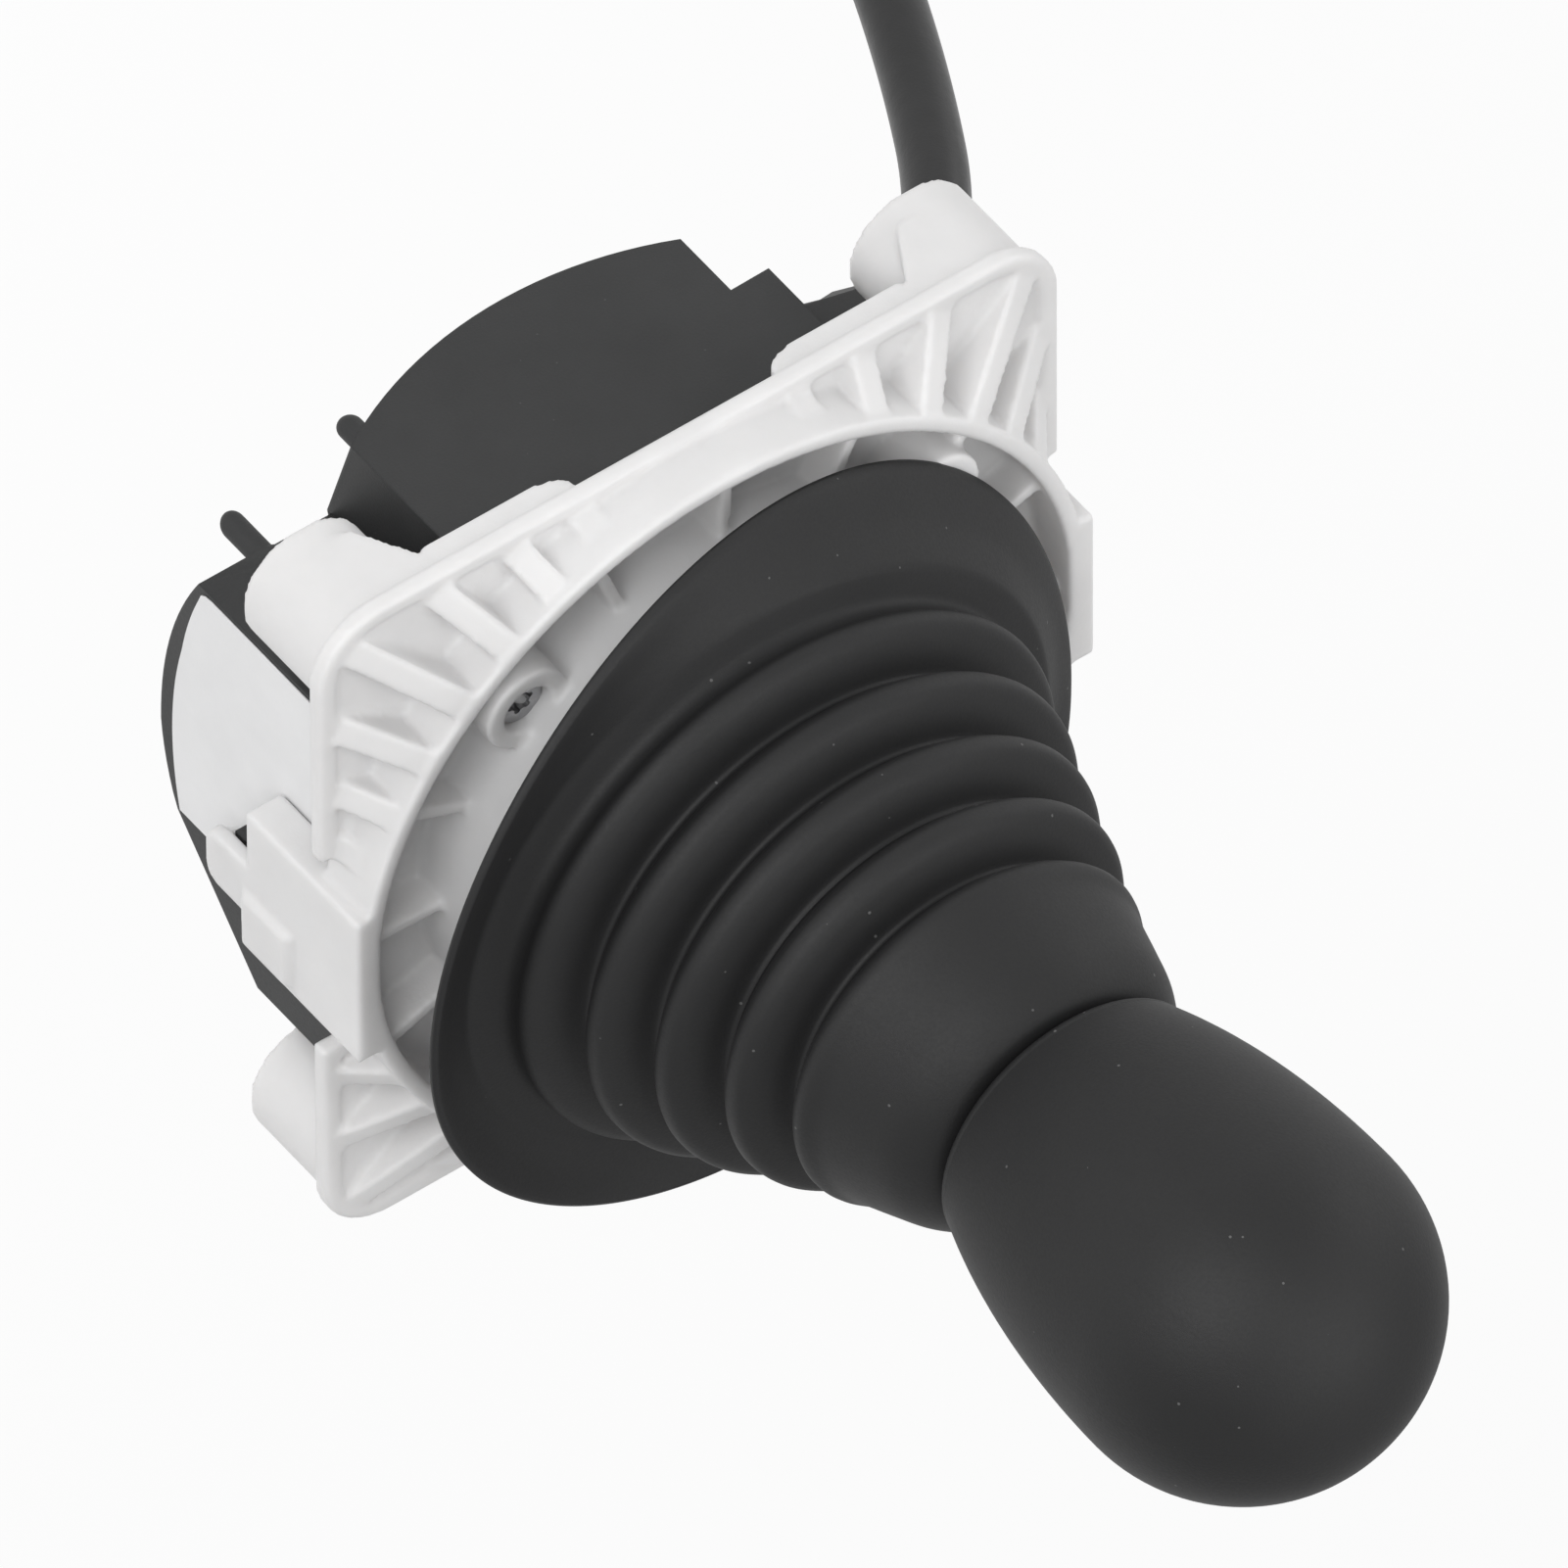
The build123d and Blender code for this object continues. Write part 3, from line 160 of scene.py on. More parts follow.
def finish_material(
    name,
    dark,
    light,
    rough=(0.4, 0.5),
    blotch=60.0,
    grain=2500.0,
    grain_height=0.02,
    wave=120.0,
    wave_height=0.0,
    round_edges=0.0,
    specks=None,
    **sockets,
):
    """A moulded, cast or machined surface: two tones in soft blotches, fine grain and a slow ripple."""
    material = bpy.data.materials.new(name)
    material.use_nodes = True
    tree = material.node_tree
    shader = tree.nodes["Principled BSDF"]
    coords = node(tree, "ShaderNodeTexCoord").outputs["Object"]
    patches = noise_tex(tree, coords, blotch, 4.0, 0.6)
    fine = noise_tex(tree, coords, grain, 2.0, 0.6)
    colour = ramp(tree, patches, ((0.3, dark), (0.7, light)))
    if specks:
        colour = add_specks(tree, coords, colour, *specks)
    tree.links.new(colour, shader.inputs["Base Color"])
    tree.links.new(spans(tree, fine, *rough), shader.inputs["Roughness"])
    bump = node(tree, "ShaderNodeBump")
    bump.inputs["Strength"].default_value = 1.0
    bump.inputs["Distance"].default_value = grain_height * MM
    tree.links.new(fine, bump.inputs["Height"])
    normal = None
    if wave_height:
        slow = node(tree, "ShaderNodeBump")
        slow.inputs["Distance"].default_value = wave_height * MM
        tree.links.new(noise_tex(tree, coords, wave, 2.0), slow.inputs["Height"])
        normal = slow
    if round_edges:
        soft = node(tree, "ShaderNodeBevel", samples=6)
        soft.inputs["Radius"].default_value = round_edges * MM
        if normal:
            tree.links.new(soft.outputs["Normal"], normal.inputs["Normal"])
        else:
            normal = soft
    if normal:
        tree.links.new(normal.outputs["Normal"], bump.inputs["Normal"])
    tree.links.new(bump.outputs["Normal"], shader.inputs["Normal"])
    for socket, value in sockets.items():
        shader.inputs[socket.replace("_", " ")].default_value = value
    return material


def add_specks(tree, coords, colour, scale, share, speck_colour):
    """Dust or fibre specks: small round spots in a share of the cells."""
    cells = node(tree, "ShaderNodeTexVoronoi", feature="F1")
    cells.inputs["Scale"].default_value = scale
    tree.links.new(coords, cells.inputs["Vector"])
    spot = node(tree, "ShaderNodeMath", operation="LESS_THAN")
    spot.inputs[1].default_value = 0.16
    tree.links.new(cells.outputs["Distance"], spot.inputs[0])
    split = node(tree, "ShaderNodeSeparateColor")
    tree.links.new(cells.outputs["Color"], split.inputs[0])
    few = node(tree, "ShaderNodeMath", operation="LESS_THAN")
    few.inputs[1].default_value = share
    tree.links.new(split.outputs[0], few.inputs[0])
    both = node(tree, "ShaderNodeMath", operation="MULTIPLY")
    tree.links.new(spot.outputs[0], both.inputs[0])
    tree.links.new(few.outputs[0], both.inputs[1])
    return mix(tree, both.outputs[0], colour, speck_colour)


def metal(name, dark, light, rough, **extra):
    return finish_material(name, dark, light, rough, Metallic=1.0, **extra)


nylon = finish_material(
    "nylon_white",
    (0.66, 0.655, 0.655),
    (0.73, 0.725, 0.725),
    rough=(0.34, 0.46),
    blotch=45.0,
    wave_height=0.05,
    round_edges=0.6,
    Subsurface_Weight=0.35,
    Subsurface_Radius=(0.004, 0.0038, 0.0036),
    Subsurface_Scale=1.0,
)
black_plastic = finish_material(
    "housing_plastic",
    (0.018, 0.0185, 0.019),
    (0.026, 0.0265, 0.027),
    rough=(0.5, 0.64),
    grain=3200.0,
    grain_height=0.03,
    round_edges=0.5,
    specks=(1400.0, 0.012, (0.05, 0.05, 0.05)),
)
rubber = finish_material(
    "boot_rubber_skin",
    (0.0065, 0.0065, 0.007),
    (0.0105, 0.0105, 0.011),
    rough=(0.56, 0.7),
    blotch=30.0,
    grain=2600.0,
    grain_height=0.025,
    wave_height=0.08,
    specks=(900.0, 0.018, (0.09, 0.09, 0.09)),
)
knob_skin = finish_material(
    "knob_rubber_skin",
    (0.0055, 0.0055, 0.006),
    (0.0095, 0.0095, 0.01),
    rough=(0.55, 0.68),
    blotch=35.0,
    grain=2600.0,
    grain_height=0.025,
    specks=(1000.0, 0.022, (0.09, 0.09, 0.09)),
)
jacket = finish_material(
    "cable_jacket_skin",
    (0.010, 0.010, 0.0105),
    (0.016, 0.016, 0.0165),
    rough=(0.3, 0.42),
    wave=180.0,
    wave_height=0.15,
)
outlet_rubber = finish_material(
    "outlet_rubber", (0.012, 0.012, 0.012), (0.02, 0.02, 0.02), rough=(0.5, 0.62)
)
paper = finish_material(
    "label_paper",
    (0.72, 0.72, 0.725),
    (0.77, 0.77, 0.775),
    rough=(0.38, 0.5),
    blotch=80.0,
    wave_height=0.03,
)
dark_steel = metal("dark_steel_plate", (0.3, 0.3, 0.305), (0.48, 0.48, 0.49), (0.25, 0.4), blotch=500.0)
bright_steel = metal("bright_steel_turned", (0.52, 0.52, 0.53), (0.66, 0.66, 0.67), (0.18, 0.3), blotch=300.0)
spring_steel = metal("spring_wire_steel", (0.4, 0.4, 0.41), (0.55, 0.55, 0.56), (0.2, 0.32), blotch=400.0)
bronze = metal("sintered_bronze", (0.42, 0.24, 0.1), (0.6, 0.38, 0.18), (0.4, 0.55), blotch=900.0)
alloy = metal(
    "cast_alloy", (0.4, 0.4, 0.42), (0.52, 0.52, 0.54), (0.4, 0.55), blotch=300.0, grain_height=0.05
)
black_core = finish_material(
    "core_plastic_black", (0.014, 0.014, 0.015), (0.022, 0.022, 0.023), rough=(0.4, 0.55)
)
arm_plastic = finish_material("sector_plastic_grey", (0.2, 0.2, 0.2), (0.27, 0.27, 0.27), rough=(0.42, 0.55))
magnet = metal("nickel_magnet", (0.5, 0.5, 0.48), (0.62, 0.61, 0.58), (0.15, 0.28), blotch=300.0)
board = finish_material(
    "circuit_board", (0.012, 0.07, 0.03), (0.02, 0.11, 0.05), rough=(0.28, 0.4), blotch=700.0
)
header_plastic = finish_material("header_cream", (0.5, 0.47, 0.38), (0.6, 0.57, 0.48), rough=(0.4, 0.55))
wires = finish_material("wire_pvc", (0.16, 0.02, 0.015), (0.26, 0.035, 0.025), rough=(0.35, 0.5))
plug_black = finish_material(
    "plug_nylon",
    (0.016, 0.016, 0.017),
    (0.026, 0.026, 0.027),
    rough=(0.35, 0.5),
    grain_height=0.03,
    round_edges=0.4,
)
seal_rubber = finish_material("seal_silicone", (0.3, 0.1, 0.03), (0.4, 0.15, 0.05), rough=(0.5, 0.62))
brass = metal("tinned_brass", (0.5, 0.42, 0.26), (0.66, 0.58, 0.4), (0.22, 0.36), blotch=500.0)

NODE_MATERIALS = {
    "mounting_frame": nylon,
    "frame_screws": dark_steel,
    "housing": black_plastic,
    "bottom_cover": black_plastic,
    "cover_screws": bright_steel,
    "label": paper,
    "boot": rubber,
    "boot_ring": bright_steel,
    "gimbal_bushes": bronze,
    "sector_bushes": bronze,
    "hub_bushes": bronze,
    "gimbal_ring": alloy,
    "gimbal_pins": bright_steel,
    "cross_pin": bright_steel,
    "sector_arm": arm_plastic,
    "sector_pins": bright_steel,
    "magnet_cup_x": arm_plastic,
    "magnet_cup_y": arm_plastic,
    "magnet_x": magnet,
    "magnet_y": magnet,
    "return_spring_x": spring_steel,
    "return_spring_y": spring_steel,
    "sensor_board_x": board,
    "sensor_board_y": board,
    "main_board": board,
    "board_header": header_plastic,
    "inner_wires": wires,
    "lever_hub": alloy,
    "lever_follower": bright_steel,
    "lever_shaft": bright_steel,
    "lever_nut": bright_steel,
    "lever_sleeve": black_core,
    "knob_core": black_core,
    "knob_cover": knob_skin,
    "cable_outlet": outlet_rubber,
    "cable": jacket,
    "plug_body": plug_black,
    "plug_seal": seal_rubber,
    "plug_terminals": brass,
}


def dress(piece, material):
    if not piece.material_slots:
        piece.data.materials.append(material)
    for place in piece.material_slots:
        place.material = material


for name, material in NODE_MATERIALS.items():
    dress(nodes[name], material)
dress(cable_run, jacket)

# ---------------------------------------------------------------- boot


def revolve(name, profile, turns, place):
    """A closed skin: the profile is a (radius, height) path in mm, place sets each point."""
    mesh = bmesh.new()
    rings = [[mesh.verts.new(place(r, z, a)) for a in turns] for r, z in profile]
    around = len(turns)
    for i in range(len(rings)):
        low, high = rings[i], rings[(i + 1) % len(rings)]
        for j in range(around):
            k = (j + 1) % around
            mesh.faces.new((low[j], low[k], high[k], high[j]))
    bmesh.ops.recalc_face_normals(mesh, faces=mesh.faces)
    data = bpy.data.meshes.new(name)
    mesh.to_mesh(data)
    mesh.free()
    for polygon in data.polygons:
        polygon.use_smooth = True
    piece = bpy.data.objects.new(name, data)
    scene.collection.objects.link(piece)
    return piece


def smooth_path(points, step):
    """A Catmull-Rom line through the points, about one point per step."""
    ends = [points[0], *points, points[-1]]
    path = []
    for i in range(len(points) - 1):
        a, b, c, d = (Vector(p) for p in ends[i : i + 4])
        count = max(2, round((c - b).length / step))
        for j in range(count):
            t = j / count
            path.append(
                0.5
                * (
                    2 * b
                    + (c - a) * t
                    + (2 * a - 5 * b + 4 * c - d) * t**2
                    + (3 * b - a - 3 * c + d) * t**3
                )
            )
    path.append(Vector(points[-1]))
    return path


BOOT_WALL, FOLD_DEPTH = 1.2, 4.2
BOOT_TURNS = 288
RIM_FROM_R, RIM_WIDTH, RIM_BELOW_Z = 38.0, 7.3, 35
LEAN_X, LEAN_Y = 0.0903, 0.0497
CRESTS = [(34.8 - 3.08 * k, 35.3 + 7.5 * k) for k in range(4)] + [(22.5, 65.3)]
SPLIT_Z = 54.4


def boot_lean(z):
    """How far the boot's middle stands off the lever's axis at a height, as in the photograph."""
    heights = [
        (27.0, 38.0), (35.3, 27.5), (42.8, 22.5), (50.3, 18.5), (57.8, 12.5), (65.3, 8.5), (80.0, 0.0)
    ]
    if z <= heights[0][0]:
        off = heights[0][1]
    elif z >= heights[-1][0]:
        off = 0.0
    else:
        for (z0, o0), (z1, o1) in zip(heights, heights[1:]):
            if z0 <= z <= z1:
                off = o0 + (o1 - o0) * (z - z0) / (z1 - z0)
                break
    return LEAN_X * off, LEAN_Y * off


def boot_point(r, z, a):
    """A point of the boot, with the rim tilted and waved and the middle leaning."""
    x, y = r * math.cos(a), r * math.sin(a)
    rim = max(0.0, min(1.0, (r - RIM_FROM_R) / RIM_WIDTH))
    if z < RIM_BELOW_Z:
        tilt = 0.10 * (x + 3.5) + 0.08 * (y + 1.8)
        z += rim * (tilt + 0.19 * math.cos(2 * a) - 2.0 * math.sin(2 * a))
    dx, dy = boot_lean(z)
    return Vector((x + dx, y + dy, z)) * MM


def boot_outline():
    """The outer skin, from the rim's edge to the neck's top."""
    points = [(45.3, 28.5), (44.9, 29.5), (41.0, 30.2), (37.4, 31.2), (34.6, 32.2)]
    for k, (r, z) in enumerate(CRESTS):
        reach = 2.3 if k < 4 else 2.6
        points += [(r - 0.55, z - reach * 0.62), (r, z), (r - 1.0, z + reach * 0.75)]
        if k < 4:
            after = CRESTS[k + 1]
            points += [((r + after[0]) / 2 - FOLD_DEPTH, (z + after[1]) / 2 + 0.1)]
    points += [(20.9, 68.9), (19.9, 72.0), (18.6, 75.6), (16.6, 78.6), (14.9, 79.9), (12.2, 80.4)]
    return smooth_path(points, 0.55)


def inward(path, distance):
    """The path moved to the left of its direction."""
    moved = []
    for i, point in enumerate(path):
        a, b = path[max(i - 1, 0)], path[min(i + 1, len(path) - 1)]
        along = (b - a).normalized()
        moved.append(point + Vector((-along.y, along.x)) * distance)
    return moved


def build_boot():
    outline = boot_outline()
    inner = inward(outline, BOOT_WALL)
    cut = min(
        range(len(outline)), key=lambda i: abs(outline[i].y - SPLIT_Z) + (outline[i].x > 29) * 9
    )
    turns = [math.radians(360 * i / BOOT_TURNS) for i in range(BOOT_TURNS)]
    pieces = []
    for name, first, last in (("boot_lower", 0, cut), ("boot_upper", cut, len(outline) - 1)):
        path = outline[first : last + 1] + inner[first : last + 1][::-1]
        pieces.append(revolve(name, [(p.x, p.y) for p in path], turns, boot_point))
    return pieces


boot_lower, boot_upper = build_boot()
for piece in (boot_lower, boot_upper):
    dress(piece, rubber)
    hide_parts("boot")
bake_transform(boot_lower)
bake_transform(boot_upper)

# ---------------------------------------------------------------- frame

PLATE_HALF, PLATE_CORNER, BORDER = 48.2, 8.5, 2.2
REAR_Z, FLOOR_TOP_Z, FRONT_Z = 13.1, 14.5, 15.1
COLLAR_IN, COLLAR_OUT, COLLAR_TOP = 45.2, 47.2, 21.4
WELL_IN, WELL_OUT, WELL_TOP, RIB_TOP = 34.3, 35.4, 25.5, 19.2
SCREW_CIRCLE, SCREW_ANGLE, SCREW_SEAT = 38.0, -47.5, 17.6
BOSS_AT, BOSS_R = 39.5, 7.7
BOX_LOW, BOX_HIGH, BOX_BOTTOM, BOX_WALL = -8.8, 13.2, 1.4, 1.8
NOTCH, NOTCH_X = 4.2, 45.4
SNAP_Y = 3.9
OVERLAP = 0.3
RIB_COUNT, RIB_HALF, RIB_BURY = 16, 0.75, 1
FAN_PAIRS, FAN_STEP, FAN_HALF, FAN_END, FAN_TIP = 3, 9.3, 1.7, 62.4, 0.5
SCREW_BOSS_R, SCREW_HOLE_R, SCREW_HEAD_R = 5.2, 1.95, 3.0
PILOT_R, PILOT_END_Z, PILOT_WALL_TOP_Z = 2.1, 9.6, 10.0
WEB_Y, WEB_HALF, WEB_TOP_Z, WEB_LOW_Z = 46.3, 0.9, 13.4, 3.3
WEB_REACH_TOP, WEB_REACH_LOW = 9.5, 3.85
LIP_Y, LIP_HALF = 46.2, 1
LIP = [
    (12.6, 13.4), (12.9, 12.0), (13.7, 10.9), (15.2, 10.2), (17.1, 9.8), (31.0, 9.7), (31.0, 13.4)
]
BOX_IN_FRONT, BOX_IN_BACK = 45.0, 43.3
PAD_LOW, PAD_HIGH, PAD_SUNK, PAD_PROUD, PAD_TOP_Z = 3.65, 11.55, 0.4, 0.9, 9.4
FINGER = [(-4, 3), (-4, -4), (-3.4, -5.4), (-2, -6), (2, -6), (3.4, -5.4), (4, -4), (4, 3)]
BARB_DEPTH, BARB_HALF, BARB_TOP_Z, BARB_LOW_Z = 2.2, 3, -4, -6
VOXEL = 0.4


def circle(radius, x=0.0, y=0.0, count=128):
    angles = [2 * math.pi * i / count for i in range(count)]
    return [(x + radius * math.cos(a), y + radius * math.sin(a)) for a in angles]


def oblong(x0, x1, y0, y1):
    return [(x0, y0), (x1, y0), (x1, y1), (x0, y1)]


def plate_outline(inset):
    """The rounded square, cut in beside the side boxes on both sides."""
    half, corner = PLATE_HALF - inset, PLATE_CORNER - inset
    cut_x, low, high = NOTCH_X - inset, BOX_LOW - NOTCH - inset, BOX_HIGH + NOTCH + inset
    points = []
    for turn, (sx, sy) in enumerate(((1, 1), (-1, 1), (-1, -1), (1, -1))):
        for step in range(13):
            a = math.radians(90 * turn + 7.5 * step)
            x, y = sx * (half - corner), sy * (half - corner)
            points.append((x + corner * math.cos(a), y + corner * math.sin(a)))
        if turn == 1:
            points += [(-half, high), (-cut_x, high), (-cut_x, low), (-half, low)]
        if turn == 3:
            points += [(half, low), (cut_x, low), (cut_x, high), (half, high)]
    return points


def slab(target, outlines, low, high, angle=None):
    """Adds a closed plate of outlines in mm, inner ones cut out; an angle stands it upright."""
    curve = bpy.data.curves.new("outline", "CURVE")
    curve.dimensions = "2D"
    curve.fill_mode = "BOTH"
    curve.extrude = (high - low) / 2
    for outline in outlines:
        spline = curve.splines.new("POLY")
        spline.points.add(len(outline) - 1)
        for point, (x, y) in zip(spline.points, outline):
            point.co = (x, y, 0.0, 1.0)
        spline.use_cyclic_u = True
    holder = bpy.data.objects.new("outline", curve)
    scene.collection.objects.link(holder)
    data = bpy.data.meshes.new_from_object(holder)
    place = Matrix.Translation((0, 0, (low + high) / 2))
    if angle is not None:
        a = math.radians(angle)
        axes = ((math.cos(a), math.sin(a), 0), (0, 0, 1), (math.sin(a), -math.cos(a), 0))
        place = Matrix(axes).transposed().to_4x4() @ place
    data.transform(place)
    part = bmesh.new()
    part.from_mesh(data)
    bmesh.ops.remove_doubles(part, verts=part.verts, dist=1e-4)
    part.to_mesh(data)
    part.free()
    target.from_mesh(data)
    bpy.data.objects.remove(holder)
    bpy.data.curves.remove(curve)
    bpy.data.meshes.remove(data)


def frame_front(mesh):
    """Plate with its border, collar, well, pocket ribs, screw bosses and corner fans."""
    slab(mesh, [plate_outline(0), circle(WELL_IN)], REAR_Z, FLOOR_TOP_Z)
    slab(mesh, [plate_outline(0), plate_outline(BORDER)], FLOOR_TOP_Z - OVERLAP, FRONT_Z)
    slab(mesh, [circle(COLLAR_OUT), circle(COLLAR_IN)], REAR_Z, COLLAR_TOP)
    slab(mesh, [circle(WELL_OUT), circle(WELL_IN)], REAR_Z, WELL_TOP)
    pocket_rib = oblong(WELL_OUT - RIB_BURY, COLLAR_IN + RIB_BURY, REAR_Z, RIB_TOP)
    for rib in range(RIB_COUNT):
        slab(mesh, [pocket_rib], -RIB_HALF, RIB_HALF, SCREW_ANGLE + 360 / RIB_COUNT * rib)
    for corner in range(4):
        a = math.radians(SCREW_ANGLE + 90 * corner)
        x, y = SCREW_CIRCLE * math.cos(a), SCREW_CIRCLE * math.sin(a)
        edge = [(u * max(1, WELL_IN / math.hypot(u, v)), v * max(1, WELL_IN / math.hypot(u, v)))
                for u, v in circle(SCREW_BOSS_R, x, y)]
        slab(mesh, [edge, circle(SCREW_HOLE_R, x, y)], REAR_Z, SCREW_SEAT)
        slab(mesh, [edge, circle(SCREW_HEAD_R, x, y)], SCREW_SEAT - OVERLAP, COLLAR_TOP)
        for rib in range(-FAN_PAIRS, FAN_PAIRS + 1):
            off = FAN_STEP * rib
            end = min(FAN_END, (PLATE_HALF - BORDER) / math.cos(math.radians(45 - abs(off))))
            root = (COLLAR_IN + COLLAR_OUT) / 2
            low, tip = REAR_Z + OVERLAP, end + FAN_TIP
            side = [(root, low), (tip, low), (tip, FRONT_Z), (end, FRONT_Z), (root, COLLAR_TOP)]
            slab(mesh, [side], -FAN_HALF, FAN_HALF, 45 + 90 * corner + off)


def frame_back(mesh):
    """Mounting bosses, webs, lips, side boxes, pad and snap finger."""
    for sx in (-1, 1):
        for sy in (-1, 1):
            x, y = sx * BOSS_AT, sy * BOSS_AT
            slab(mesh, [circle(BOSS_R, x, y), circle(PILOT_R, x, y)], 0.0, PILOT_WALL_TOP_Z)
            slab(mesh, [circle(BOSS_R, x, y)], PILOT_END_Z, FLOOR_TOP_Z)
            top_x, low_x = sx * (BOSS_AT - WEB_REACH_TOP), sx * (BOSS_AT - WEB_REACH_LOW)
            web = [(x, WEB_TOP_Z), (top_x, WEB_TOP_Z), (low_x, WEB_LOW_Z), (x, WEB_LOW_Z)]
            slab(mesh, [web], sy * WEB_Y - WEB_HALF, sy * WEB_Y + WEB_HALF, 0)
            lip = [(sx * u, v) for u, v in LIP]
            slab(mesh, [lip], sy * LIP_Y - LIP_HALF, sy * LIP_Y + LIP_HALF, 0)
        near, far = sorted((sx * BOX_IN_FRONT, sx * PLATE_HALF))
        slab(mesh, [oblong(near, far, BOX_LOW, BOX_HIGH)], REAR_Z - OVERLAP, COLLAR_TOP)
        near, far = sorted((sx * (PLATE_HALF - BOX_WALL), sx * PLATE_HALF))
        slab(mesh, [oblong(near, far, BOX_LOW, BOX_HIGH)], BOX_BOTTOM, REAR_Z + OVERLAP)
        near, far = sorted((sx * BOX_IN_BACK, sx * PLATE_HALF))
        for low in (BOX_LOW, BOX_HIGH - BOX_WALL):
            slab(mesh, [oblong(near, far, low, low + BOX_WALL)], BOX_BOTTOM, REAR_Z + OVERLAP)
    pad = oblong(PLATE_HALF - PAD_SUNK, PLATE_HALF + PAD_PROUD, PAD_LOW, PAD_HIGH)
    slab(mesh, [pad], BOX_BOTTOM, PAD_TOP_Z)
    wall = PLATE_HALF - BOX_WALL
    slab(mesh, [[(SNAP_Y + u, v) for u, v in FINGER]], wall, PLATE_HALF, 90)
    barb = [(wall + OVERLAP, BARB_TOP_Z), (wall - BARB_DEPTH, BARB_TOP_Z), (wall + OVERLAP, BARB_LOW_Z)]
    slab(mesh, [barb], -SNAP_Y - BARB_HALF, -SNAP_Y + BARB_HALF, 0)


def build_frame():
    mesh = bmesh.new()
    frame_front(mesh)
    frame_back(mesh)
    data = bpy.data.meshes.new("frame_moulding")
    mesh.to_mesh(data)
    mesh.free()
    data.transform(Matrix.Scale(MM, 4))
    piece = bpy.data.objects.new("frame_moulding", data)
    scene.collection.objects.link(piece)
    melt = piece.modifiers.new("melt", "REMESH")
    melt.mode = "VOXEL"
    melt.voxel_size = VOXEL * MM
    soften = piece.modifiers.new("soften", "SMOOTH")
    soften.factor = 0.5
    soften.iterations = 3
    whole = piece.evaluated_get(bpy.context.evaluated_depsgraph_get())
    baked = bpy.data.meshes.new_from_object(whole)
    piece.modifiers.clear()
    piece.data = baked
    for polygon in baked.polygons:
        polygon.use_smooth = True
    print("frame faces", len(baked.polygons))
    return piece


frame_moulding = build_frame()
dress(frame_moulding, nylon)
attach(frame_moulding, "base")
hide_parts("mounting_frame")

# ---------------------------------------------------------------- housing, cover, label


SOLID_TOP_Z = 10.5
SOLID_ARC, X_ARM_ARC, Y_ARM_ARC = (42.0, -20.0), (58.0, -20.8), (47.5, -18.1)
COVER_SCREW_X, COVER_SCREW_Y = 36.9, 19.5
MOVED_BELOW_Z, MOVE_FADE = -4, 5
SCREW_TOP_Z, SCREW_KEEP_R = -9.5, 4.2
Y_ARM_FROM, Y_ARM_HALF = 26.3, 25.1
X_ARM_FROM, X_ARM_HALF = 22.8, 28.6
SLOPE_FROM_Z, SLOPE = -11.5, 0.88
BULGE, BULGE_HALF = 0.8, 11


def arm_floor(across, radius, low):
    return low + radius - math.sqrt(radius**2 - across**2)


def fit_arm(x, y, z):
    """Each arm gets its own arc below, and the top meets the back of the plate."""
    if abs(z - SOLID_TOP_Z) < 0.05:
        return REAR_Z
    off_screw = math.hypot(abs(x) - COVER_SCREW_X, abs(y) - COVER_SCREW_Y)
    if z > MOVED_BELOW_Z or (z > SCREW_TOP_Z and off_screw < SCREW_KEEP_R):
        return z
    shift = 0.0
    if abs(y) > Y_ARM_FROM and abs(x) < Y_ARM_HALF:
        shift = arm_floor(x, *Y_ARM_ARC) - arm_floor(x, *SOLID_ARC)
    elif abs(x) > X_ARM_FROM and abs(y) < X_ARM_HALF and x * y < 0:
        shift = arm_floor(y, *X_ARM_ARC) - arm_floor(y, *SOLID_ARC)
    elif abs(x) > Y_ARM_HALF and abs(y) < X_ARM_HALF:
        sloped = SLOPE_FROM_Z + SLOPE * (abs(y) - COVER_SCREW_Y)
        bulge = BULGE * max(0.0, 1 - abs(y) / BULGE_HALF)
        shift = max(0.0, sloped - arm_floor(y, *SOLID_ARC)) - bulge
    return z + shift * min(1.0, (MOVED_BELOW_Z - z) / MOVE_FADE)


def fitted(node_name, name, fit, material):
    """A piece that starts from the node's own faces and is fitted to the photographed outline."""
    data = nodes[node_name].data.copy()
    data.transform(nodes[node_name].matrix_world)
    for vertex in data.vertices:
        x, y, z = vertex.co / MM
        vertex.co.z = fit(x, y, z) * MM
    kept = data.attributes.get("custom_normal")
    if kept:
        data.attributes.remove(kept)
    data.update()
    piece = bpy.data.objects.new(name, data)
    scene.collection.objects.link(piece)
    dress(piece, material)
    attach(piece, "base")
    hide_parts(node_name)
    return piece


fitted("housing", "housing_shell", fit_arm, black_plastic)
fitted("bottom_cover", "cover_shell", fit_arm, black_plastic)


def build_label():
    """The blank label on the arm's end: it follows the arc below and runs up behind the plate."""
    left, right, top, corner, margin = -27.4, 11.5, 9.5, 1.8, 2.3
    back_x, face_x = 43.02, 43.2
    steps = [left + corner + (right - left - corner) * i / 40 for i in range(41)]
    edge = [(y, arm_floor(y, *X_ARM_ARC) + margin - max(0.0, (-y - 15) / 12)) for y in steps]
    corner_z = edge[0][1]
    rounded = [(left, corner_z + 2.2), (left + 0.15, corner_z + 1.2), (left + 0.6, corner_z + 0.45)]
    mesh = bmesh.new()
    slab(mesh, [rounded + edge + [(right, top), (left, top)]], back_x, face_x, 90)
    data = bpy.data.meshes.new("label_plate")
    mesh.to_mesh(data)
    mesh.free()
    data.transform(Matrix.Scale(MM, 4))
    piece = bpy.data.objects.new("label_plate", data)
    scene.collection.objects.link(piece)
    dress(piece, paper)
    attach(piece, "base")
    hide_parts("label")


build_label()

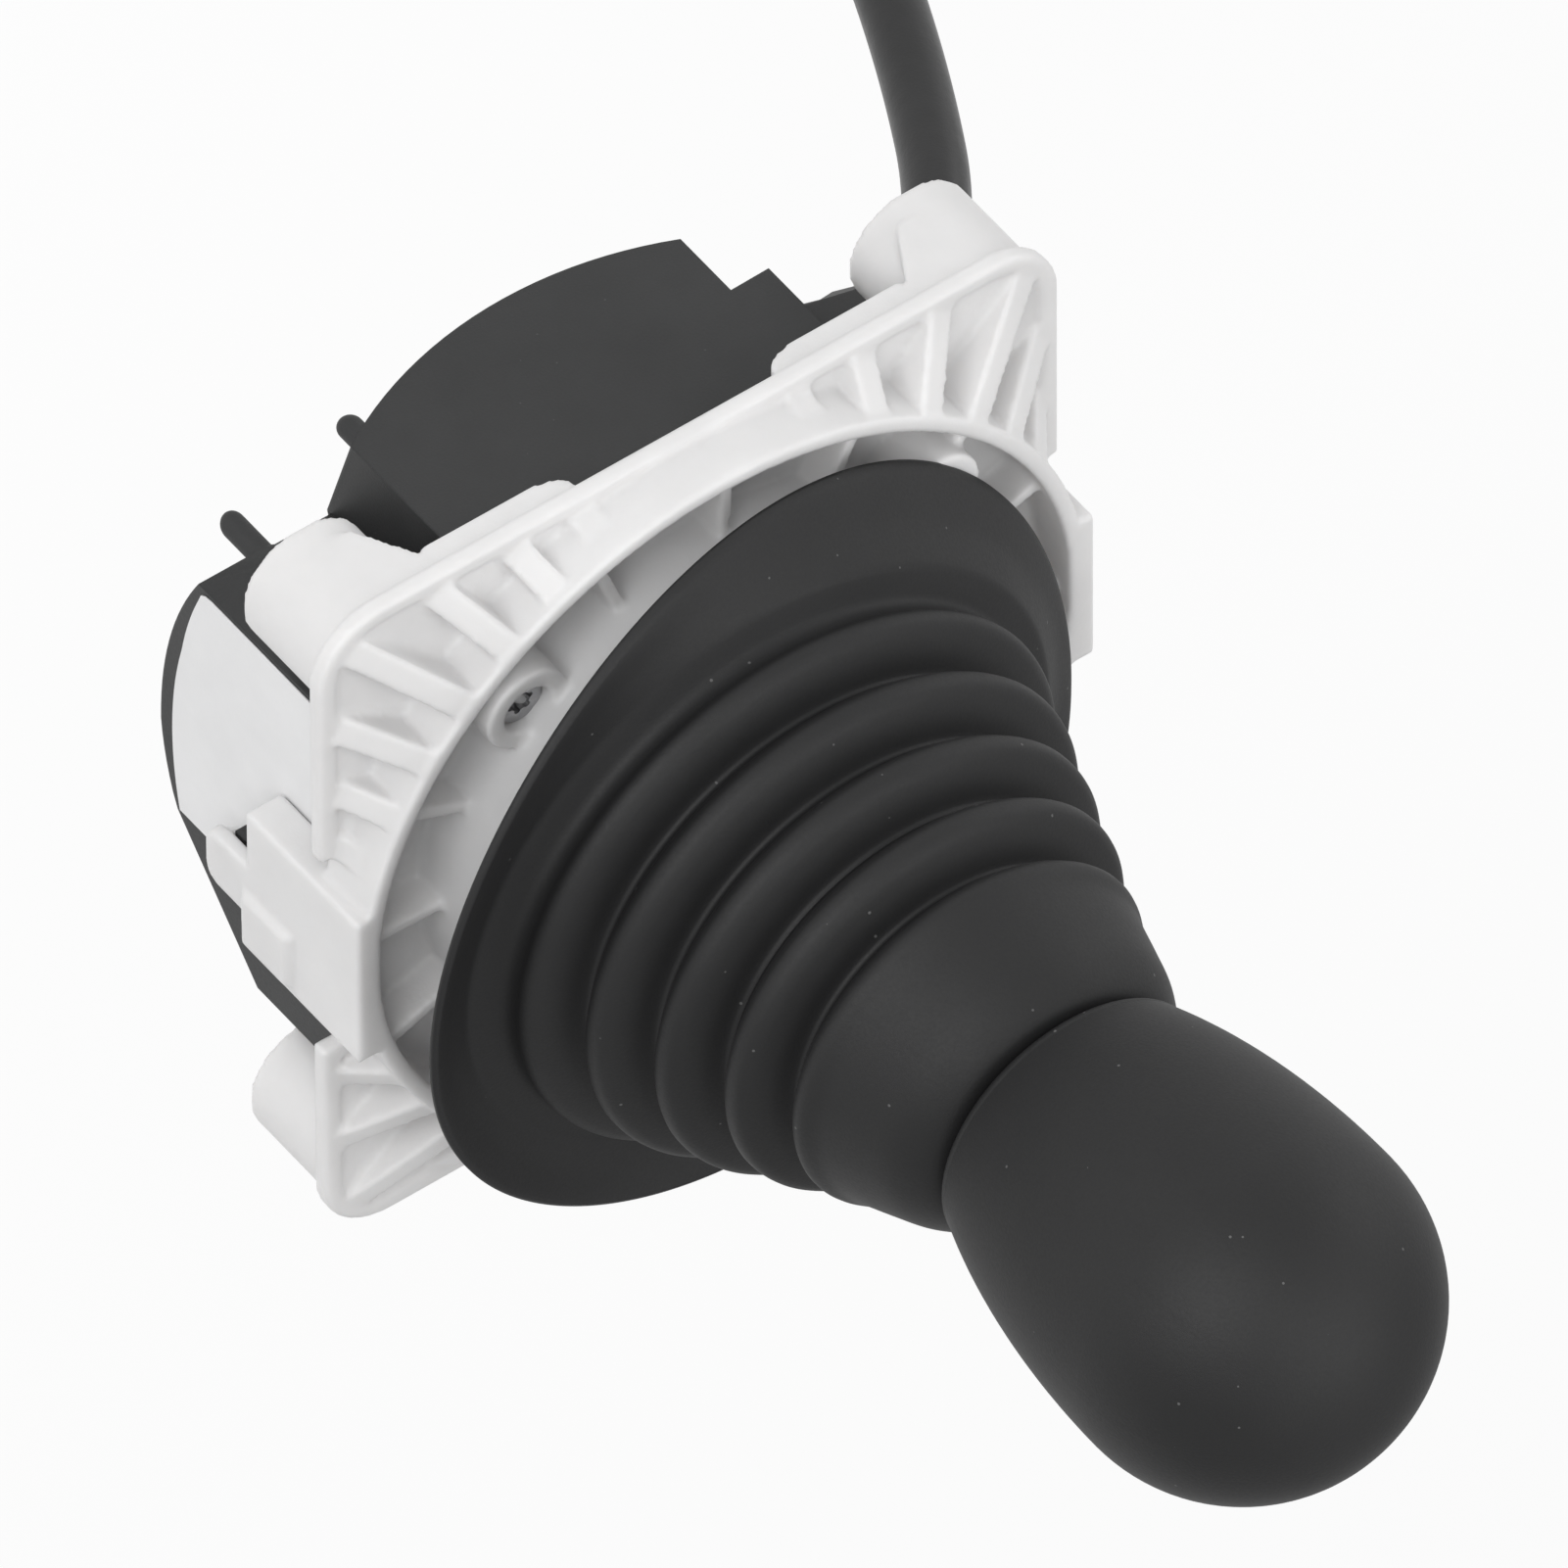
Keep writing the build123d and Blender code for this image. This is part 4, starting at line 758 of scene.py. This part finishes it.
# ---------------------------------------------------------------- floor, light

FLOOR_Z = -271.0 * MM


def build_floor():
    mesh = bpy.data.meshes.new("floor")
    half = 6.0
    corners = [(-half, -half), (half, -half), (half, half), (-half, half)]
    mesh.from_pydata([(x, y, FLOOR_Z) for x, y in corners], [], [(0, 1, 2, 3)])
    floor = bpy.data.objects.new("floor", mesh)
    scene.collection.objects.link(floor)
    material = bpy.data.materials.new("floor_white")
    material.use_nodes = True
    tree = material.node_tree
    shader = tree.nodes["Principled BSDF"]
    shader.inputs["Base Color"].default_value = (0.95, 0.95, 0.95, 1.0)
    shader.inputs["Roughness"].default_value = 0.9
    white = node(tree, "ShaderNodeEmission")
    path = node(tree, "ShaderNodeLightPath")
    seen = node(tree, "ShaderNodeMath", operation="MAXIMUM")
    tree.links.new(path.outputs["Is Camera Ray"], seen.inputs[0])
    tree.links.new(path.outputs["Is Glossy Ray"], seen.inputs[1])
    share = node(tree, "ShaderNodeMath", operation="MULTIPLY")
    share.inputs[1].default_value = 0.85
    tree.links.new(seen.outputs[0], share.inputs[0])
    blend = node(tree, "ShaderNodeMixShader")
    tree.links.new(share.outputs[0], blend.inputs[0])
    tree.links.new(shader.outputs[0], blend.inputs[1])
    tree.links.new(white.outputs[0], blend.inputs[2])
    tree.links.new(blend.outputs[0], tree.nodes["Material Output"].inputs["Surface"])
    mesh.materials.append(material)


build_floor()


def build_world():
    world = bpy.data.worlds.new("studio")
    scene.world = world
    world.use_nodes = True
    tree = world.node_tree
    back = tree.nodes["Background"]
    back.inputs["Color"].default_value = (1.0, 1.0, 1.0, 1.0)
    back.inputs["Strength"].default_value = 0.5
    white = tree.nodes.new("ShaderNodeBackground")
    white.inputs["Color"].default_value = (1.0, 1.0, 1.0, 1.0)
    white.inputs["Strength"].default_value = 1.0
    path = tree.nodes.new("ShaderNodeLightPath")
    blend = tree.nodes.new("ShaderNodeMixShader")
    tree.links.new(path.outputs["Is Camera Ray"], blend.inputs[0])
    tree.links.new(back.outputs[0], blend.inputs[1])
    tree.links.new(white.outputs[0], blend.inputs[2])
    tree.links.new(blend.outputs[0], tree.nodes["World Output"].inputs["Surface"])


build_world()


def soft_box(name, place, size, power):
    data = bpy.data.lights.new(name, "AREA")
    data.shape = "DISK"
    data.size = size
    data.energy = power
    lamp = bpy.data.objects.new(name, data)
    scene.collection.objects.link(lamp)
    lamp.location = place
    lamp.rotation_mode = "QUATERNION"
    lamp.rotation_quaternion = (AIM - Vector(place)).to_track_quat("-Z", "Y")
    return lamp


soft_box("key_light", (0.9, -1.0, 0.55), 1.2, 11.5)
soft_box("top_light", (-0.3, -0.3, 1.5), 1.4, 9.0)
soft_box("side_light", (-1.3, -0.6, 0.3), 1.0, 4.0)
